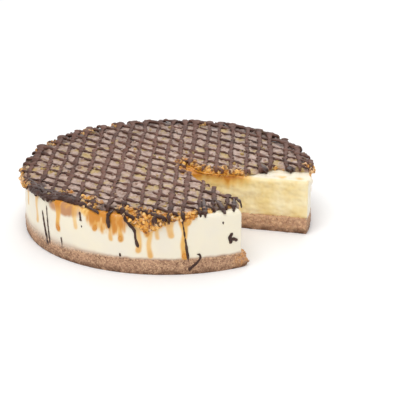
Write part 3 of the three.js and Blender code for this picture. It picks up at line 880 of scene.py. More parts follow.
def chocolate_finish(colors, name, roughness, shine):
    f = Finish(name, roughness, Specular_IOR_Level=shine)
    thin = f.math("ADD", f.attribute("tone"), f.span(f.noise(7), 0.3, 0.7, -0.25, 0.25))
    return f.done(f.mix(thin, colors.chocolate_dark, colors.chocolate), f.bump(f.noise(2.2), 0.2, 0.3))


def caramel_finish(colors):
    f = Finish(
        "caramel",
        0.25,
        Subsurface_Weight=0.3,
        Subsurface_Scale=0.002,
        Subsurface_Radius=(0.7, 0.5, 0.2),
        Coat_Weight=0.3,
    )
    color = f.mix(f.attribute("tone"), colors.caramel_thin, colors.caramel)
    color = f.spotted(color, colors.nut_dark, 3.0, 0.55, 0.8, 0.35)
    return f.done(color, f.bump(f.noise(2.0, 2), 0.2, 0.3))


class Tree:
    """A geometry node tree being made. An input is given by its default number, or else by its type."""

    def __init__(self, name, **inputs):
        self.tree = bpy.data.node_groups.new(name, "GeometryNodeTree")
        kinds = {float: "Float", int: "Int"}
        for title, default in {"Geometry": None, **inputs, "Material": None}.items():
            kind = "NodeSocket" + kinds.get(type(default), default or title)
            socket = self.tree.interface.new_socket(title, in_out="INPUT", socket_type=kind)
            if type(default) in kinds:
                socket.default_value = default
        self.tree.interface.new_socket("Geometry", in_out="OUTPUT", socket_type="NodeSocketGeometry")
        self.given = self.tree.nodes.new("NodeGroupInput").outputs

    def add(self, kind, values, output=0, **settings):
        """A node's output. Each input that values names or numbers gets a socket or a plain value."""
        node = self.tree.nodes.new(kind)
        for key, value in settings.items():
            setattr(node, key, value)
        for key, value in values.items():
            if isinstance(value, bpy.types.NodeSocket):
                self.tree.links.new(value, node.inputs[key])
            else:
                node.inputs[key].default_value = value
        return node.outputs[output]

    def field(self, name, data_type="FLOAT"):
        return self.add("GeometryNodeInputNamedAttribute", {"Name": name}, data_type=data_type)

    def done(self, result, smooth):
        """The tree, which makes real geometry of the result and gives it the material that came in."""
        real = self.add("GeometryNodeRealizeInstances", {"Geometry": result})
        shaded = self.add("GeometryNodeSetShadeSmooth", {"Geometry": real, "Shade Smooth": smooth})
        coat = {"Geometry": shaded, "Material": self.given["Material"]}
        coated = self.add("GeometryNodeSetMaterial", coat)
        self.tree.links.new(coated, self.tree.nodes.new("NodeGroupOutput").inputs[0])
        return self.tree


def pour_tree():
    """Sweeps a flat bead along each path, facing the way the path's points say."""
    t = Tree("Poured bead", Flatness=0.6, Sides=10, Unevenness=0.0003, Grain=0.004)
    given = t.given
    curve = t.add("GeometryNodeMeshToCurve", {"Mesh": given["Geometry"]})
    facing = {"Curve": curve, "Normal": t.field("facing", "FLOAT_VECTOR")}
    faced = t.add("GeometryNodeSetCurveNormal", facing, mode="FREE")
    circle = t.add("GeometryNodeCurvePrimitiveCircle", {"Resolution": given["Sides"], "Radius": 1.0})
    squash = t.add("ShaderNodeCombineXYZ", {"X": given["Flatness"], "Y": 1.0, "Z": 1.0})
    profile = t.add("GeometryNodeTransform", {"Geometry": circle, "Scale": squash})
    bead = {"Curve": faced, "Profile Curve": profile, "Scale": t.field("half_width"), "Fill Caps": True}
    swept = t.add("GeometryNodeCurveToMesh", bead)
    scale = t.add("ShaderNodeMath", {0: 1.0, 1: given["Grain"]}, operation="DIVIDE")
    lumps = t.add("ShaderNodeTexNoise", {"Scale": scale, "Detail": 2.0}, "Fac")
    centred = t.add("ShaderNodeMath", {0: lumps, 1: 0.5}, operation="SUBTRACT")
    amount = t.add("ShaderNodeMath", {0: centred, 1: given["Unevenness"]}, operation="MULTIPLY")
    normal = t.add("GeometryNodeInputNormal", {})
    offset = t.add("ShaderNodeVectorMath", {0: normal, "Scale": amount}, operation="SCALE")
    return t.done(t.add("GeometryNodeSetPosition", {"Geometry": swept, "Offset": offset}), True)


def scatter_tree():
    """Scatters turned and scaled pieces of a collection over a surface, denser where it says."""
    t = Tree("Scattered pieces", Pieces="Collection", Spacing=0.003, Smallest=0.7, Largest=1.3, Seed=1)
    given = t.given
    spread = {
        "Mesh": given["Geometry"],
        "Distance Min": given["Spacing"],
        "Density Max": MOST_CHIPS_PER_SQUARE_METRE,
        "Density Factor": t.field("crowd"),
        "Seed": given["Seed"],
    }
    points = t.add("GeometryNodeDistributePointsOnFaces", spread, "Points", distribute_method="POISSON")
    kinds = {"Collection": given["Pieces"], "Separate Children": True, "Reset Children": True}
    random = "FunctionNodeRandomValue"
    turns = {0: (0, 0, 0), 1: (math.tau,) * 3, "Seed": given["Seed"]}
    placing = {
        "Points": points,
        "Instance": t.add("GeometryNodeCollectionInfo", kinds),
        "Pick Instance": True,
        "Rotation": t.add(random, turns, data_type="FLOAT_VECTOR"),
        "Scale": t.add(random, {2: given["Smallest"], 3: given["Largest"]}, 1),
    }
    placed = t.add("GeometryNodeInstanceOnPoints", placing)
    tone = t.add(random, {2: 0.0, 3: 1.0, "Seed": SEEDS["nut_tones"]}, 1)
    toned = {"Geometry": placed, "Name": "tone", "Value": tone}
    return t.done(t.add("GeometryNodeStoreNamedAttribute", toned, domain="INSTANCE"), False)


def run_tree(thing, tree, values):
    """Puts the tree on the object with the given input values, and turns the result into a plain mesh."""
    modifier = thing.modifiers.new(tree.name, "NODES")
    modifier.node_group = tree
    for item in tree.interface.items_tree:
        if item.in_out == "INPUT" and item.name in values:
            modifier[item.identifier] = values[item.name]
    evaluated = thing.evaluated_get(bpy.context.evaluated_depsgraph_get())
    mesh = bpy.data.meshes.new_from_object(evaluated)
    thing.modifiers.clear()
    old = thing.data
    thing.data = mesh
    bpy.data.meshes.remove(old)
    mesh.name = thing.name


def chip_collection(name, kinds, radius, cuts, seed):
    """A collection of small broken lumps: rounded pieces with a few flat sides."""
    random = seeded(seed)
    collection = bpy.data.collections.new(name)
    for kind in range(kinds):
        work = bmesh.new()
        bmesh.ops.create_icosphere(work, subdivisions=2, radius=radius * MM)
        for vert in work.verts:
            vert.co *= 0.85 + 0.3 * next(random)
        stretch = Vector((0.8 + 0.6 * next(random), 0.7 + 0.5 * next(random), 0.55 + 0.4 * next(random)))
        bmesh.ops.scale(work, vec=stretch, verts=work.verts)
        for _ in range(cuts):
            side = Vector((next(random) - 0.5, next(random) - 0.5, next(random) - 0.5)).normalized()
            cut = bmesh.ops.bisect_plane(
                work,
                geom=[*work.verts, *work.edges, *work.faces],
                plane_co=side * radius * MM * (0.35 + 0.35 * next(random)),
                plane_no=side,
                clear_outer=True,
            )
            edges = [e for e in cut["geom_cut"] if isinstance(e, bmesh.types.BMEdge)]
            bmesh.ops.holes_fill(work, edges=edges)
        bmesh.ops.triangulate(work, faces=[face for face in work.faces if len(face.verts) > 4])
        bmesh.ops.recalc_face_normals(work, faces=work.faces)
        mesh = bpy.data.meshes.new(f"{name}_{kind}")
        work.to_mesh(mesh)
        work.free()
        collection.objects.link(bpy.data.objects.new(f"{name}_{kind}", mesh))
    return collection


def scatter(name, surface, crowd, spacing, seed, slot, node, material):
    """Serves chips scattered over a copy of a surface, more of them where crowd is greater."""
    *shape, smallest, largest = CHIPS[name]
    collection = chip_collection(name + "_kind", *shape)
    thing = linked(name, surface.data.copy())
    store(thing.data, "crowd", crowd)
    values = {"Pieces": collection, "Spacing": spacing, "Smallest": smallest, "Largest": largest}
    run_tree(thing, scatter_tree(), {**values, "Seed": seed, "Material": material})
    for chip in list(collection.objects):
        mesh = chip.data
        bpy.data.objects.remove(chip)
        bpy.data.meshes.remove(mesh)
    bpy.data.collections.remove(collection)
    serve(thing, slot, node, material)


def pour(name, paths, slot, node, material):
    """Serves a flat bead poured along the paths."""
    flatness, uneven, sides, grain = BEADS[name]
    values = {"Flatness": flatness, "Unevenness": uneven * MM, "Sides": sides, "Grain": grain * MM}
    thing = path_object(name, paths)
    tree = bpy.data.node_groups.get("Poured bead") or pour_tree()
    run_tree(thing, tree, {**values, "Material": material})
    serve(thing, slot, node, material)


def topping_outline(sizes):
    """The topping's closed outline, its outward directions, and 1 where it is on the rim."""
    step, radius = sizes.fineness, sizes.topping_radius
    degrees = rim_degrees(*TOPPING_RIM, radius, step)
    rim = polar(radius + RIM_BUMPS * (0.5 + 0.5 * wave(degrees * 9, 0.7)), degrees)
    rim *= 1 - (bare_depth(rim) / radius)[:, None]
    near = smooth_curve([rim[-1], *TOPPING_NEAR_EDGE], step)
    far = smooth_curve([*TOPPING_TEAR, rim[0]], step)
    edges = []
    for points, phase in ((near[1:-1], 1), (far[:-1], 5)):
        at = 24 * np.arange(len(points)) / len(points)
        ragged = np.column_stack([wave(at * 9, phase), wave(at * 7, phase + 2)])
        fine = np.column_stack([wave(at * 61, phase + 4), wave(at * 47, phase + 6)])
        edges.append(points + 0.7 * ragged + 0.4 * fine)
    loop = np.vstack([rim, *edges])
    on_rim = np.zeros(len(loop))
    on_rim[: len(rim)] = 1
    return loop, outward(loop), on_rim


def rim_fall(points):
    """How far the topping sinks towards its rim."""
    return RIM_FALL * smoothstep(reach_of(points), *RIM_FALL_REACH) - BARE_LIFT * bare_rim(points)


def golden_at(points, on_rim):
    """Where golden nuts show at the topping's edge, from 0 to 1, and how far in from there they reach."""
    turn = turn_of(points)
    found = smoothstep(fractal(with_height(points, 0), 13, 2, 49), 0.1, 0.3)
    found = found * (np.abs(turn - LISTED_DEGREES) > LISTED_HALF_WIDTH)
    depth = np.where(points[:, 1] > 0, -1.5, 3.5)
    for degrees, half_width, reach in GOLDEN_RIM:
        listed = smoothstep(np.abs(degrees_apart(turn, degrees)), half_width, half_width - 3)
        found = np.maximum(found, listed)
        depth = depth + (reach - depth) * listed
    along_tear = smoothstep(points[:, 1], -24, -20) * smoothstep(points[:, 0], 70, 60)
    return np.where(on_rim > 0, found, along_tear), np.where(on_rim > 0, depth, 4.0)


def lower_edge(points, on_rim):
    """The height at which the topping ends on the wall, or on the cream beside a cut."""
    turn = turn_of(points)
    flat = with_height(points, 0)
    rim = RIM_LOW + 2.2 * fractal(flat, 11, 3, 3) + 0.8 * fractal(flat, 3.5, 2, 5)
    left = degrees_apart(turn, CLUMP_DEGREES) < 0
    reach = np.abs(degrees_apart(turn, CLUMP_DEGREES))
    clump = CLUMP_LOW + np.where(left, *CLUMP_SLOPES) * reach + 0.9 * fractal(flat, 4, 2, 8)
    rim -= LOWER_BY * hump_at(turn, LOWER_RIM)
    rim += HIGHER_BY * hump_at(turn, HIGHER_RIM) * (1 - bare_rim(points))
    rim = np.where(reach < CLUMP_HALF_WIDTH, np.minimum(rim, clump), rim) + BARE_RISE * bare_rim(points)
    return np.where(on_rim > 0, rim, CUT_LOW + 0.7 * fractal(flat, 6, 3, 9))


def line_offsets(family):
    """How far each line of a family lies from the middle, and its width."""
    random = seeded(family["seed"])
    offset = -FIELD_REACH
    lines = []
    while offset < FIELD_REACH:
        lines.append((offset, family["width"] * (0.85 + 0.35 * next(random))))
        offset += family["pitch"] * (1 + PITCH_JITTER * (next(random) - 0.5))
    return lines


def line_stretches(family, other, loop):
    """The flat stretches of a family's lines that lie inside the topping, each with its width."""
    along, square = polar(1.0, family["degrees"]), polar(1.0, family["degrees"] + 90)
    across = polar(1.0, other["degrees"] + 90)
    at = np.arange(-1.2 * FIELD_REACH, 1.2 * FIELD_REACH, 1.0)
    for number, (offset, width) in enumerate(line_offsets(family)):
        straight = at[:, None] * along + offset * square
        wander = LINE_WANDER * wave(straight @ across, family["phase"] + number * family["phase_step"])
        for stretch in inside_stretches(straight + wander[:, None] * square, loop, FEWEST_POINTS):
            yield stretch, width


def line_paths(sizes, family, other, loop, out):
    """The paths of a family of chocolate lines, with an end that droops over the edge at both sides."""
    tree = nearest_to(loop)
    ends = seeded(family["seed"] + 100)
    paths = []
    for stretch, width in line_stretches(family, other, loop):
        line = laid_line(sizes, family, other, stretch, width / 2)
        for _ in range(2):
            line = [part[::-1] for part in line]
            points = line[0]
            nearest = tree.find((*points[-1][:2], 0))[1]
            way = unit(unit(points[-1][:2] - points[-4][:2]) + 0.6 * out[nearest])
            end = drooping_end(points[-1], way, width / 2, next(ends))
            line = [np.concatenate(pair) for pair in zip(line, end)]
        points, facing, half = line
        hooked = hump_at(turn_of(points), HOOKED_RIM) * smoothstep(reach_of(points), *HOOKED_REACH)
        front = smoothstep(reach_of(points), *FRONT_REACH) * smoothstep(points[:, 1], *FRONT_Y)
        light = family["light"] + 0.3 * smoothstep(reach_of(points), 95, 35)
        light = np.clip(light + 0.35 * fractal(points, 14, 2, family["seed"] + 50), 0, 1)
        tone = light * (1 - 0.7 * front) * (1 - 0.9 * hooked)
        paths.append((points, facing, half * (1 - 0.35 * hooked), tone))
    return paths


def laid_line(sizes, family, other, flat, half):
    """A flat stretch of a line with its heights, the way it faces and its uneven half width."""
    spots, seed = with_height(flat, 0), family["seed"]
    aside = flat @ polar(1.0, other["degrees"] + 90)
    crossed = np.array([offset for offset, _ in line_offsets(other)])
    away = np.abs(aside[:, None] - crossed).min(axis=1)
    blob = smoothstep(reach_of(flat), *BLOB_REACH) * smoothstep(flat[:, 1], *BLOB_Y)
    height = sizes.bed_top - rim_fall(flat) + family["lift"] + 0.3 * fractal(spots, 8, 2, seed)
    height += family["crossing"] * hump(away, CROSSING_HALF_WIDTH) + 0.8 * blob
    half_width = half * (np.maximum(0.45, 1 + 1.0 * fractal(spots, 6, 3, seed + 20)) + 0.9 * blob)
    shaky = np.column_stack([fractal(spots, 5, 2, seed + 30), fractal(spots, 5, 2, seed + 40)])
    return with_height(flat + 0.8 * shaky, height), np.tile(UP, (len(flat), 1)), half_width


def drooping_end(last, way, half, chance):
    """The end of a line over the topping's edge: blunt, or pointed where it hangs down in front."""
    turn = turn_of(last)
    on_rim = reach_of(last) > LINE_ENDS_ON_RIM
    front = float(hump_at(turn, FRONT_RIM)) * on_rim
    drop = 0.9 + 5.0 * front * max(0.0, chance - 0.4)
    hooks, half_width = HOOKED_RIM
    if abs(turn - hooks) < half_width - 4:
        drop = 1.5 + 3.0 * chance
    share = np.linspace(0, 1, 11)[1:]
    bend = np.minimum(share * 2.0, 1.0) * math.pi / 2
    beyond = (1.4 + 1.4 * front) * np.sin(bend)
    down = 2.0 * (1 - np.cos(bend)) + drop * np.maximum(0, share - 0.4) / 0.6
    points = np.column_stack([last[:2] + beyond[:, None] * way, last[2] - down])
    facing = np.column_stack([way * np.sin(bend)[:, None], np.cos(bend)])
    blob = 1 + 0.5 * float(smoothstep(last[1], *BLOB_Y)) * on_rim
    round_end = np.sqrt(np.clip((1.02 - share) * 4, 0, 1))
    return points, facing, half * blob * round_end * (0.95 - (0.2 + 0.5 * front) * share**1.5)


def wall_path(sizes, knots, proud):
    """A path on the wall through knots of angle and height, the way it faces, and its shares from 0 to 1."""
    radius = sizes.filling_radius
    knots = np.array(knots, float)
    line = smooth_curve(np.column_stack([np.radians(knots[:, 0]) * radius, knots[:, 1]]), 0.9)
    degrees, height = np.degrees(line[:, 0] / radius), line[:, 1]
    bare = bare_rim(polar(radius, degrees))
    stand = proud + 3.0 * (1 - bare) * smoothstep(height, 43.5, 47.5)
    stand += 2.8 * hump(degrees - CLUMP_DEGREES, 12) * smoothstep(height, 35, 43)
    points = with_height(polar(radius + stand, degrees), height)
    return points, with_height(polar(1.0, degrees), 0), shares(line)


def all_runs():
    """The listed caramel runs, then those made by rule for the part of the wall that the list leaves out."""
    random = seeded(SEEDS["rule_runs"])
    runs = list(CARAMEL_RUNS)
    degrees, last = RULE_RUNS
    while degrees < last:
        low = 20 + 24 * next(random)
        width = RULE_RUN_LEAST + RULE_RUN_MORE * next(random)
        runs.append((degrees, low, width, 0.25 + 0.65 * (width - RULE_RUN_LEAST) / RULE_RUN_MORE))
        degrees += RULE_RUN_SPACING * (0.6 + 0.8 * next(random))
    return runs


class CHEESECAKE_OT_biscuit_base(bpy.types.Operator):
    """Press the biscuit base, with its grainy wall and crumbling cuts"""

    bl_idname = "cheesecake.biscuit_base"
    bl_label = "Biscuit base"

    def execute(self, context):
        sizes = sizes_in_mm(context)
        height = sizes.base_height
        loop, out, on_rim = layer_outline(sizes.base_radius, BASE_CUT, sizes.fineness)
        levels = np.linspace(0, height, BASE_LEVELS)
        insets = 0.9 * (1 - smoothstep(levels, 0, 1.6)) + 0.35 * smoothstep(levels, height - 1.6, height)
        corner = apart(loop, polar(sizes.base_radius, BASE_CUT["near"]))
        rings = []
        for level, inset in zip(levels, insets):
            spots = with_height(loop, level)
            calm = 0.2 + 0.8 * smoothstep(level, 0, 1.5) * smoothstep(level, height, height - 2)
            wall = 0.3 * fractal(spots, 5, 3, 1) + 0.4 * (pebbles(spots, 1.8, 1) - 0.4)
            cut = 1.1 * fractal(spots, 6, 4, 2) + 1.3 * (pebbles(spots, 3.1, 2) - 0.35)
            cut += 2.6 * hump(corner - 3, 9) * (1 - smoothstep(level, 4, 12))
            relief = calm * np.where(on_rim > 0, wall, cut)
            rings.append(with_height(pulled_in(loop, out, on_rim, inset) + relief[:, None] * out, level))
        for inset in BASE_TOP_INSETS:
            spots = with_height(pulled_in(loop, out, on_rim, inset), height)
            spots[:, 2] += np.where(on_rim > 0, 0, 0.5) * np.maximum(fractal(spots, 3, 3, 4), -0.3)
            rings.append(spots)
        verts, faces = stack(np.array(rings), (*HEART, 0), (*HEART, height))
        fresh = np.append(np.tile(1 - on_rim, len(rings)), (0, 0))
        broken = 0.9 * hump(np.append(np.tile(corner, len(rings)), (99, 99)), 15)
        dust = np.maximum(crumb_dust(verts, height), fresh)
        base = mesh_object("pressed_biscuit", verts, faces, {"fresh": fresh, "broken": broken, "dust": dust})
        material = biscuit_finish(context.scene.cake_colors)
        crowd = fresh * smoothstep(places_of(base.data)[:, 2], 2.0, 3.5) * 0.35
        seed = context.scene.topping_amounts.crumb_seed
        target = ("biscuit", "biscuit_base", material)
        scatter("clinging_crumbs", base, crowd, CRUMB_SPACING * MM, seed, *target)
        serve(base, *target)
        return {"FINISHED"}


class CHEESECAKE_OT_cream_filling(bpy.types.Operator):
    """Bake the cream filling, smooth outside and torn where the knife went through"""

    bl_idname = "cheesecake.cream_filling"
    bl_label = "Cream filling"

    def execute(self, context):
        sizes = sizes_in_mm(context)
        low, high = sizes.base_height - 0.4, sizes.filling_top
        loop, out, on_rim = layer_outline(sizes.filling_radius, CREAM_CUT, sizes.fineness)
        turn, along = turn_of(loop), reach_of(loop)
        corner = np.minimum(*(apart(loop, loop[i]) for i in np.flatnonzero(on_rim)[[0, -1]]))
        levels = np.linspace(low, high, CREAM_LEVELS)
        insets = 1.7 * smoothstep(levels, high - 3.0, high) ** 2
        insets += 0.05 * (1 - smoothstep(levels, low, low + 1.5))
        rings = []
        for level, inset in zip(levels, insets):
            spots = with_height(loop, level)
            wall = 0.12 * wave(turn * 2 + level, 1.3) + stands_out(CREAM_BULGE, turn, level)
            dragged = with_height(loop * 0.35, level)
            torn = 0.9 * fractal(dragged, 6, 4, 20) + 0.5 * fractal(spots, 13, 3, 19)
            torn = torn + 0.3 * fractal(spots, 3.2, 4, 21)
            torn = torn - 0.6 * smoothstep(fractal(spots, 6, 4, 22), 0.3, 0.7)
            lumps = stands_out(CUT_LUMPS, along, level) * (turn < -40)
            torn += (1 + fractal(spots, 5, 3, 23)) * lumps
            relief = np.where(on_rim > 0, wall, torn * smoothstep(corner, 0, 3))
            swell = BARE_RISE * bare_rim(loop) * smoothstep(level, 36, 45)
            spots = pulled_in(loop, out, on_rim, inset) + relief[:, None] * out
            rings.append(with_height(spots, level + swell))
        for more, left_over in CREAM_SHOULDER:
            spots = pulled_in(loop, out, on_rim, inset + more) + (left_over * relief)[:, None] * out
            rings.append(with_height(spots, high + swell))
        shoulder = rings[-1]
        for share in CREAM_TOP_RINGS:
            flat = HEART + (shoulder[:, :2] - HEART) * share
            lift = (shoulder[:, 2] - high) * smoothstep(share, 0.89, 0.95)
            bumps = (0.3 + 0.9 * fractal(with_height(flat, high), 6, 4, 24)) * smoothstep(share, 1.0, 0.92)
            rings.append(with_height(flat, high + lift + bumps))
        verts, faces = stack(np.array(rings), (*HEART, low), (*HEART, high + 0.3))
        degrees, half_width, reach = AMBER_SHOULDER
        amber = (np.abs(turn_of(verts) - degrees) < half_width) & (reach_of(verts) > reach)
        on_wall = np.append(np.tile(on_rim, len(rings)), (0, 0))
        on_wall[len(levels) * len(loop) :] *= amber[len(levels) * len(loop) :]
        run, attributes = self.stains(verts, on_wall, sizes)
        verts[:, :2] *= 1 + (RUN_THICKNESS * run / sizes.filling_radius)[:, None]
        cream = mesh_object("cream_body", raised(verts), faces, attributes)
        serve(cream, "cream", "cream_filling", cream_finish(context.scene.cake_colors))
        return {"FINISHED"}

    def stains(self, verts, on_wall, sizes):
        """How thick caramel runs over each point of the cream, and how it is cut, dusted and soaked."""
        turn, height, flat = turn_of(verts), verts[:, 2], verts[:, :2]
        spots = fractal(with_height(flat, 0), 9, 3, 33)
        streaks = fractal(verts * (1, 1, 0.3), 4.5, 3, 34)
        run, deep = np.zeros(len(verts)), np.zeros(len(verts))
        for degrees, low, width, dark in all_runs():
            inside_run = self.run_stain(turn, height, degrees, low, width, sizes.filling_radius)
            run = np.maximum(run, (0.6 + 0.4 * dark) * inside_run)
            drop = 0.35 + 0.65 * np.maximum(hump(height - low - 3, 7), smoothstep(height, 38, 46))
            deep = np.maximum(deep, dark * drop * inside_run**2)
        golden = golden_at(flat, on_wall)[0]
        under = np.maximum(lower_edge(flat, on_wall) - height, 0)
        bare = bare_rim(verts)
        band = np.exp(-((under / 5.5) ** 2)) * (0.4 + 0.6 * golden) * (1 - 0.9 * bare * (turn > -90))
        amber = hump_at(turn, AMBER) * smoothstep(height, 24, 44)
        high_amber = hump_at(turn, HIGH_AMBER) * smoothstep(height, 38, 45)
        smear = hump_at(turn, SMEAR) * smoothstep(height, 35, 44)
        smear = smoothstep(smear * (1 + 0.8 * spots), 0.2, 0.7)
        soaked_by = [
            run,
            0.9 * smoothstep(band * (1 + 1.1 * streaks + 0.5 * spots), 0.25, 0.8),
            0.85 * smoothstep(amber * (1 + 0.7 * streaks + 0.4 * spots), 0.2, 0.6),
        ]
        scorched_by = [
            deep,
            0.8 * smoothstep(band * (1 + 1.5 * streaks), 0.65, 1.2),
            0.95 * smoothstep(amber * (1 + 1.3 * streaks) + 0.6 * high_amber, 0.3, 0.8),
            0.4 * smear,
        ]
        from_tear = found_near(nearest_to(smooth_curve(TORN_CARAMEL, 1.0)[:, :2]), flat)[1]
        below = np.maximum(0, 46 - height)
        soak = 1 - below / TORN_SOAK - np.maximum(0, from_tear - 3) / 7 + 0.35 * spots
        soak = np.maximum(soak, 0.75 * in_patches(flat, SHELF_STAINS, -2 * below, 7) + 0.2 * spots)
        off_wall = 1 - on_wall
        shelf = smoothstep(height, 45.2, 46.2) * np.maximum(smoothstep(verts[:, 0], 62, 76), bare)
        soaked = np.maximum.reduce(soaked_by) * on_wall
        scorched = np.maximum.reduce(scorched_by) * on_wall
        return run * on_wall, {
            "cut": off_wall * (1 - 0.8 * shelf),
            "dust": np.clip(np.maximum(crumb_dust(verts, sizes.base_height), smear), 0, 1) * on_wall,
            "soaked": np.maximum(soaked, 0.85 * smoothstep(soak, 0.1, 0.75) * off_wall),
            "scorched": np.maximum(scorched, 0.9 * smoothstep(soak, 0.6, 1.0) * off_wall),
        }

    def run_stain(self, turn, height, degrees, low, width, radius):
        """How far inside a caramel run each point of the wall lies, from 0 to 1, with a soft edge."""
        sway = 0.3 * np.sin(height * 0.3 + degrees)
        aside = np.abs(degrees_apart(turn, degrees + sway)) * math.radians(radius)
        half = 0.5 * width * (0.85 + 0.15 * hump(height - low - 3, 6) + 0.6 * smoothstep(height, 34, 47))
        below = np.minimum(0, height - low - half)
        return smoothstep(half + 0.9 - np.hypot(aside, below), 0, 1.8)


class CHEESECAKE_OT_nut_bed(bpy.types.Operator):
    """Spread the bed of chopped nuts in caramel, with its hanging rim"""

    bl_idname = "cheesecake.nut_bed"
    bl_label = "Nut bed"

    def execute(self, context):
        sizes = sizes_in_mm(context)
        loop, out, on_rim = topping_outline(sizes)
        flat, faces = fill_region(loop, self.inner_points(loop, sizes.fineness))
        sides, side_faces = self.sides(loop, out, on_rim, flat, sizes.bed_top)
        verts = np.vstack(sides)
        faces = [tuple(face) for face in faces] + side_faces
        bed = mesh_object("nut_bed", raised(verts), faces, self.cover(verts, loop, on_rim))
        self.drop_loose(bed)
        material = nut_bed_finish(context.scene.cake_colors)
        self.add_nuts(bed, context.scene.topping_amounts, nut_chip_finish(context.scene.cake_colors))
        serve(bed, "nut_caramel", "nut_topping", material)
        return {"FINISHED"}

    def sides(self, loop, out, on_rim, flat, top):
        """The points of the bed's top, sides and underside, and the faces of its sides and underside."""
        count, first = len(loop), len(flat)
        edge = found_near(nearest_to(loop), flat)[1]
        spots = with_height(flat, top)
        coarse = 1 - smoothstep(edge, 3, 9)
        height = top - rim_fall(flat) - 1.3 * (1 - smoothstep(edge, 0, 3.2))
        height += (1.4 + 2.2 * smoothstep(flat[:, 1], 0, 80)) * coarse * fractal(spots, 9, 2, 48)
        height += (1.0 + 1.0 * coarse) * (pebbles(spots, 4.4, 41) - 0.45) + 0.5 * fractal(spots, 11, 3, 42)
        height += 0.2 * fractal(spots, 1.6, 3, 43)
        verts = [with_height(flat, height)]
        low = lower_edge(loop, on_rim)
        for ring in range(1, BED_RINGS + 1):
            share = ring / BED_RINGS
            side = with_height(loop, height[:count] + (low - height[:count]) * share)
            bulge = np.where(on_rim > 0, *BED_BULGE) * math.sin(math.pi * share) ** 0.7
            lumps = 1.3 * (pebbles(side, 3.6, 44) - 0.4) + 0.5 * fractal(side, 2.2, 2, 45)
            lumps = lumps * (1 - 0.65 * hump_at(turn_of(loop), CALM_RIM))
            reach = bulge + lumps * math.sin(math.pi * min(share, 0.85))
            verts.append(np.column_stack([loop + reach[:, None] * out, side[:, 2]]))
        tuck = np.where(on_rim > 0, *BED_TUCK)
        verts.append(with_height(loop - tuck[:, None] * out, low - 0.2))
        underside = pulled_in(loop, out, on_rim, TOPPING_UNDERSIDE_INSET)
        verts.append(with_height(underside, TOPPING_UNDERSIDE))
        starts = [0, *[first + count * ring for ring in range(BED_RINGS + 2)]]
        faces = []
        for upper, lower in zip(starts, starts[1:]):
            faces += band(lower, upper, count)
        _, under_faces = fill_region(underside, np.empty((0, 2)))
        return verts, faces + [tuple(starts[-1] + i for i in reversed(face)) for face in under_faces]

    def inner_points(self, loop, step):
        """A jittered grid of points that lie inside the loop."""
        rng = np.random.default_rng(SEEDS["bed_grid"])
        points = []
        for number, y in enumerate(np.arange(-BED_GRID, BED_GRID, step * 0.87)):
            x = np.arange(-BED_GRID, BED_GRID, step) + (step / 2 if number % 2 else 0)
            points.append(np.column_stack([x, np.full(len(x), y)]))
        points = np.vstack(points)
        points += rng.uniform(-0.15, 0.15, points.shape)
        points = points[inside(points, loop)]
        return points[found_near(nearest_to(loop), points)[1] > 0.6 * step]

    def cover(self, verts, loop, on_rim):
        """Where the nuts are veiled by thin chocolate, and where they are dark from thick chocolate and from
        painted shade.
        """
        nearest, edge = found_near(nearest_to(loop), verts)
        golden, deep = (values[nearest] for values in golden_at(loop, on_rim))
        patchy = fractal(verts, 8, 3, 47)
        top = smoothstep(verts[:, 2], *TOP_HEIGHTS)
        bare = golden * (1 - smoothstep(edge - 3.0 * patchy, deep, deep + 3.5))
        bare = np.maximum(bare, in_patches(verts, GOLDEN_PATCHES, 5 * patchy, 3))
        # Painted shade: a dark band along the rim, wider at the back where the topping falls away
        back = 14 * smoothstep(verts[:, 1], -10, 90)
        thick = 0.85 * (1 - bare) * on_rim[nearest] * smoothstep(9 + back - edge + 6 * patchy, 0, 8)
        thick = np.maximum(thick, in_patches(verts, DARK_PATCHES, 3 * patchy, 4))
        # Painted shade beside each line: a soft dark edge on the nuts, partly also thin chocolate there
        stretches = [*line_stretches(UNDER, OVER, loop), *line_stretches(OVER, UNDER, loop)]
        from_line = found_near(nearest_to(np.vstack([points for points, _ in stretches])), verts)[1]
        line_shade_and_film = 0.4 * smoothstep(from_line - 1.2 * patchy, 2.9, 1.3) * top
        # A broad darkening in large patches, darker towards the back and towards the rim
        broad = 0.5 * fractal(verts, 24, 3, 52) + 0.4 * smoothstep(verts[:, 1], 10, 90)
        broad += 0.35 * smoothstep(reach_of(verts), 55, 110) - 0.15
        line_shade_and_film = np.maximum(line_shade_and_film, np.clip(0.45 * broad + 0.25 * patchy, 0, 0.5) * top)
        return {
            "veil": np.clip(np.maximum(1 - bare, 0) * (top + (1 - top) * (1 - golden)), 0, 1),
            "thick": np.clip(np.maximum(thick, line_shade_and_film), 0, 1),
        }

    def drop_loose(self, bed):
        work = bmesh.new()
        work.from_mesh(bed.data)
        bmesh.ops.delete(work, geom=[v for v in work.verts if not v.link_faces], context="VERTS")
        work.to_mesh(bed.data)
        work.free()

    def add_nuts(self, bed, amounts, material):
        """Small nuts that stand out of the bed, and larger ones in the golden clusters at its edges."""
        places = places_of(bed.data)
        veil = np.empty(len(places))
        bed.data.attributes["veil"].data.foreach_get("value", veil)
        reach = reach_of(places)
        small = amounts.nut_share * (0.6 + 1.2 * fractal(places, 22, 2, 51)) + 1 - veil
        large = 1 - veil + 0.1 * smoothstep(reach, 118, 122)
        hidden = (places[:, 2] < HIDDEN_BELOW) & (reach < HIDDEN_REACH)
        for name, crowd, closer in (("chopped_nuts", small, 0.75), ("golden_clusters", large, 0.85)):
            crowd = np.clip(np.where(hidden, 0, crowd), 0, 1)
            spacing = closer * amounts.nut_spacing
            scatter(name, bed, crowd, spacing, amounts.nut_seed, "nut_caramel", "nut_topping", material)


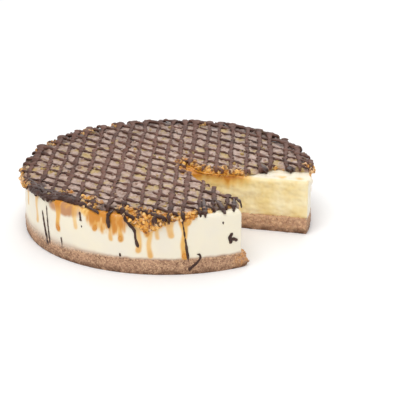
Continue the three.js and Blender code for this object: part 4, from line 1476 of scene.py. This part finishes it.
class CHEESECAKE_OT_chocolate(bpy.types.Operator):
    """Pour the chocolate lattice and the chocolate that ran down the wall"""

    bl_idname = "cheesecake.chocolate"
    bl_label = "Chocolate"

    def execute(self, context):
        sizes, colors = sizes_in_mm(context), context.scene.cake_colors
        lattice = chocolate_finish(colors, "poured chocolate", 0.5, 0.16)
        glossy = chocolate_finish(colors, "thick chocolate", 0.33, 0.3)
        loop, out, _ = topping_outline(sizes)
        for name, paths, node, material in (
            ("lattice_under", line_paths(sizes, UNDER, OVER, loop, out), "nut_topping", lattice),
            ("lattice_over", line_paths(sizes, OVER, UNDER, loop, out), "nut_topping", lattice),
            ("spilled_chocolate", self.spill() + self.drips(), "nut_topping", glossy),
            ("chocolate_on_wall", self.marks(sizes), "cream_filling", glossy),
        ):
            pour(name, paths, "dark_chocolate", node, material)
        return {"FINISHED"}

    def spill(self):
        """The strokes of thick chocolate along the front left rim."""
        middle = smooth_curve(SPILL, 1.0)
        share = shares(middle)
        inward = with_height(-unit(middle[:, :2]), 0)
        random = seeded(SEEDS["spill"])
        paths = []
        for stroke in range(SPILL_STROKES):
            start, end = 0.12 + 0.3 * next(random), 1 - 0.25 * next(random)
            aside = SPILL_REACH * (2 * stroke / (SPILL_STROKES - 1) - 1)
            aside = aside + 1.5 * fractal(middle, 9, 3, 72 + stroke)
            points = middle + np.maximum(aside, 0)[:, None] * inward
            over = np.clip(-aside / SPILL_REACH, 0, 1.3)
            edge = SPILL_EDGE + 1.0 * over - bare_depth(middle)
            out = -inward * (edge - reach_of(points))[:, None]
            points = points + out * smoothstep(over, 0, 0.5)[:, None] - (1.3 * over**1.5)[:, None] * UP
            facing = unit(UP - inward * (1.2 * over)[:, None])
            keep = (share >= start) & (share <= end)
            points, facing = points[keep], facing[keep]
            ends = np.minimum(1, 3 * np.sin(np.linspace(0.1, np.pi - 0.1, len(points))))
            half = 0.5 * SPILL_WIDTH * ends * (1 + 0.9 * fractal(points, 5, 3, 80 + stroke))
            paths.append((points, facing, half, SPILL_TONE))
        return paths

    def drips(self):
        """The drips over the edge, which face up on top and outwards as they go down."""
        paths = []
        for number, (knots, width) in enumerate(EDGE_DRIPS):
            points = smooth_curve(knots, 0.4)
            share = shares(points)
            tip, root = np.sqrt(np.clip((1.01 - share) * 5, 0, 1)), 0.5 + 0.5 * smoothstep(share, 0, 0.6)
            half = 0.5 * width * tip * root * (1 + 0.5 * fractal(points, 4, 2, 90 + number))
            tilt = smoothstep(points[:, 2], 49.5, 47)[:, None]
            facing = tilt * with_height(unit(points[:, :2]), 0) + (1 - tilt) * UP
            paths.append((points, unit(facing), half, DRIP_TONE))
        return paths

    def marks(self, sizes):
        """The runs and flicks of chocolate on the wall."""
        paths = []
        for number, (knots, width) in enumerate(CHOCOLATE_MARKS):
            points, facing, share = wall_path(sizes, knots, 0.25)
            body = 0.75 + 0.25 * wave(share * 60, number) + 0.35 * hump(share - 0.9, 0.12)
            paths.append((points, facing, 0.5 * width * body * tapered(share, 0.02, 4), MARK_TONE))
        return paths


class CHEESECAKE_OT_caramel(bpy.types.Operator):
    """Let the caramel run down the wall"""

    bl_idname = "cheesecake.caramel"
    bl_label = "Caramel"

    def execute(self, context):
        material = caramel_finish(context.scene.cake_colors)
        pour("caramel_drops", self.drops(sizes_in_mm(context)), "caramel", "cream_filling", material)
        pour("torn_caramel", self.torn_band(), "caramel", "nut_topping", material)
        return {"FINISHED"}

    def drops(self, sizes):
        """The thick low ends of the darker runs."""
        paths = []
        for degrees, low, width, dark in all_runs():
            if dark > DARK_RUN:
                points, facing, share = wall_path(sizes, [(degrees + 0.2, low + 7), (degrees, low + 1)], 0.1)
                body = 0.45 + 0.35 * smoothstep(share, 0, 0.6)
                ends = np.sqrt(np.clip((1 - share) * 5, 0.02, 1)) * smoothstep(share, -0.1, 0.3)
                paths.append((points, facing, 0.5 * width * body * ends, dark))
        return paths

    def torn_band(self):
        """The caramel that was torn along the far edge of the topping."""
        points = smooth_curve(TORN_CARAMEL, 1.0)
        half = 0.5 * TORN_WIDTH * tapered(shares(points), 0.04, 2) * (1 + 0.6 * fractal(points, 7, 3, 73))
        return [(points, np.tile(UP, (len(points), 1)), half, TORN_TONE)]


class CHEESECAKE_OT_stage(bpy.types.Operator):
    """Lay the floor and set the lights and the camera"""

    bl_idname = "cheesecake.stage"
    bl_label = "Stage"

    def execute(self, context):
        scene = context.scene
        settings = scene.stage_settings
        half = settings.floor_width / MM / 2
        corners = [(-half, -half, 0), (half, -half, 0), (half, half, 0), (-half, half, 0)]
        floor = mesh_object("floor", corners, [(0, 1, 2, 3)], {})
        f = Finish("floor", 0.6, Specular_IOR_Level=0.2)
        tint = tuple(settings.floor_color)
        floor.data.materials.append(f.done(f.mix(f.noise(900, 1), tint, tuple(c * 0.995 for c in tint))))
        scene.world = bpy.data.worlds.new("studio")
        scene.world.use_nodes = True
        sky = scene.world.node_tree.nodes["Background"].inputs
        sky["Color"].default_value = (1, 1, 1, 1)
        sky["Strength"].default_value = settings.sky_strength
        scene.view_settings.view_transform = "Standard"
        for name, (place, width, share) in LIGHTS.items():
            self.area(name, place, width, settings.key_power * share)
        camera = linked("camera", bpy.data.cameras.new("camera"))
        camera.location = (0, -settings.camera_distance, settings.camera_height)
        camera.rotation_euler = (math.pi / 2 - settings.camera_tilt, 0, -settings.camera_turn)
        camera.data.lens = settings.camera_lens
        camera.data.sensor_width = SENSOR_WIDTH
        scene.camera = camera
        return {"FINISHED"}

    def area(self, name, place, width, power):
        """A square soft light that shines at the middle of the floor."""
        lamp = bpy.data.lights.new(name, "AREA")
        lamp.size = width
        lamp.energy = power
        thing = linked(name, lamp)
        thing.location = place
        thing.rotation_euler = (-Vector(place)).to_track_quat("-Z", "Y").to_euler()


class CHEESECAKE_PT_panel(bpy.types.Panel):
    bl_label = "Cheesecake"
    bl_idname = "CHEESECAKE_PT_panel"
    bl_space_type = "VIEW_3D"
    bl_region_type = "UI"
    bl_category = "Cheesecake"

    def draw(self, context):
        for name in GROUPS:
            group = getattr(context.scene, name)
            box = self.layout.box()
            for key in group.__annotations__:
                box.prop(group, key)
        for maker in OPERATORS:
            self.layout.operator(maker.bl_idname)


OPERATORS = (
    CHEESECAKE_OT_biscuit_base,
    CHEESECAKE_OT_cream_filling,
    CHEESECAKE_OT_nut_bed,
    CHEESECAKE_OT_chocolate,
    CHEESECAKE_OT_caramel,
    CHEESECAKE_OT_stage,
)
GROUPS = {
    "cake_sizes": CakeSizes,
    "topping_amounts": ToppingAmounts,
    "cake_colors": CakeColors,
    "stage_settings": StageSettings,
}


def register():
    for cls in (*GROUPS.values(), *OPERATORS, CHEESECAKE_PT_panel):
        bpy.utils.register_class(cls)
    for key, group in GROUPS.items():
        setattr(bpy.types.Scene, key, PointerProperty(type=group))


def unregister():
    for key in GROUPS:
        delattr(bpy.types.Scene, key)
    for cls in reversed((*GROUPS.values(), *OPERATORS, CHEESECAKE_PT_panel)):
        bpy.utils.unregister_class(cls)


def main():
    register()
    bpy.ops.cheesecake.biscuit_base()
    bpy.ops.cheesecake.cream_filling()
    bpy.ops.cheesecake.nut_bed()
    bpy.ops.cheesecake.chocolate()
    bpy.ops.cheesecake.caramel()
    bpy.ops.cheesecake.stage()


if __name__ == "__main__":
    main()
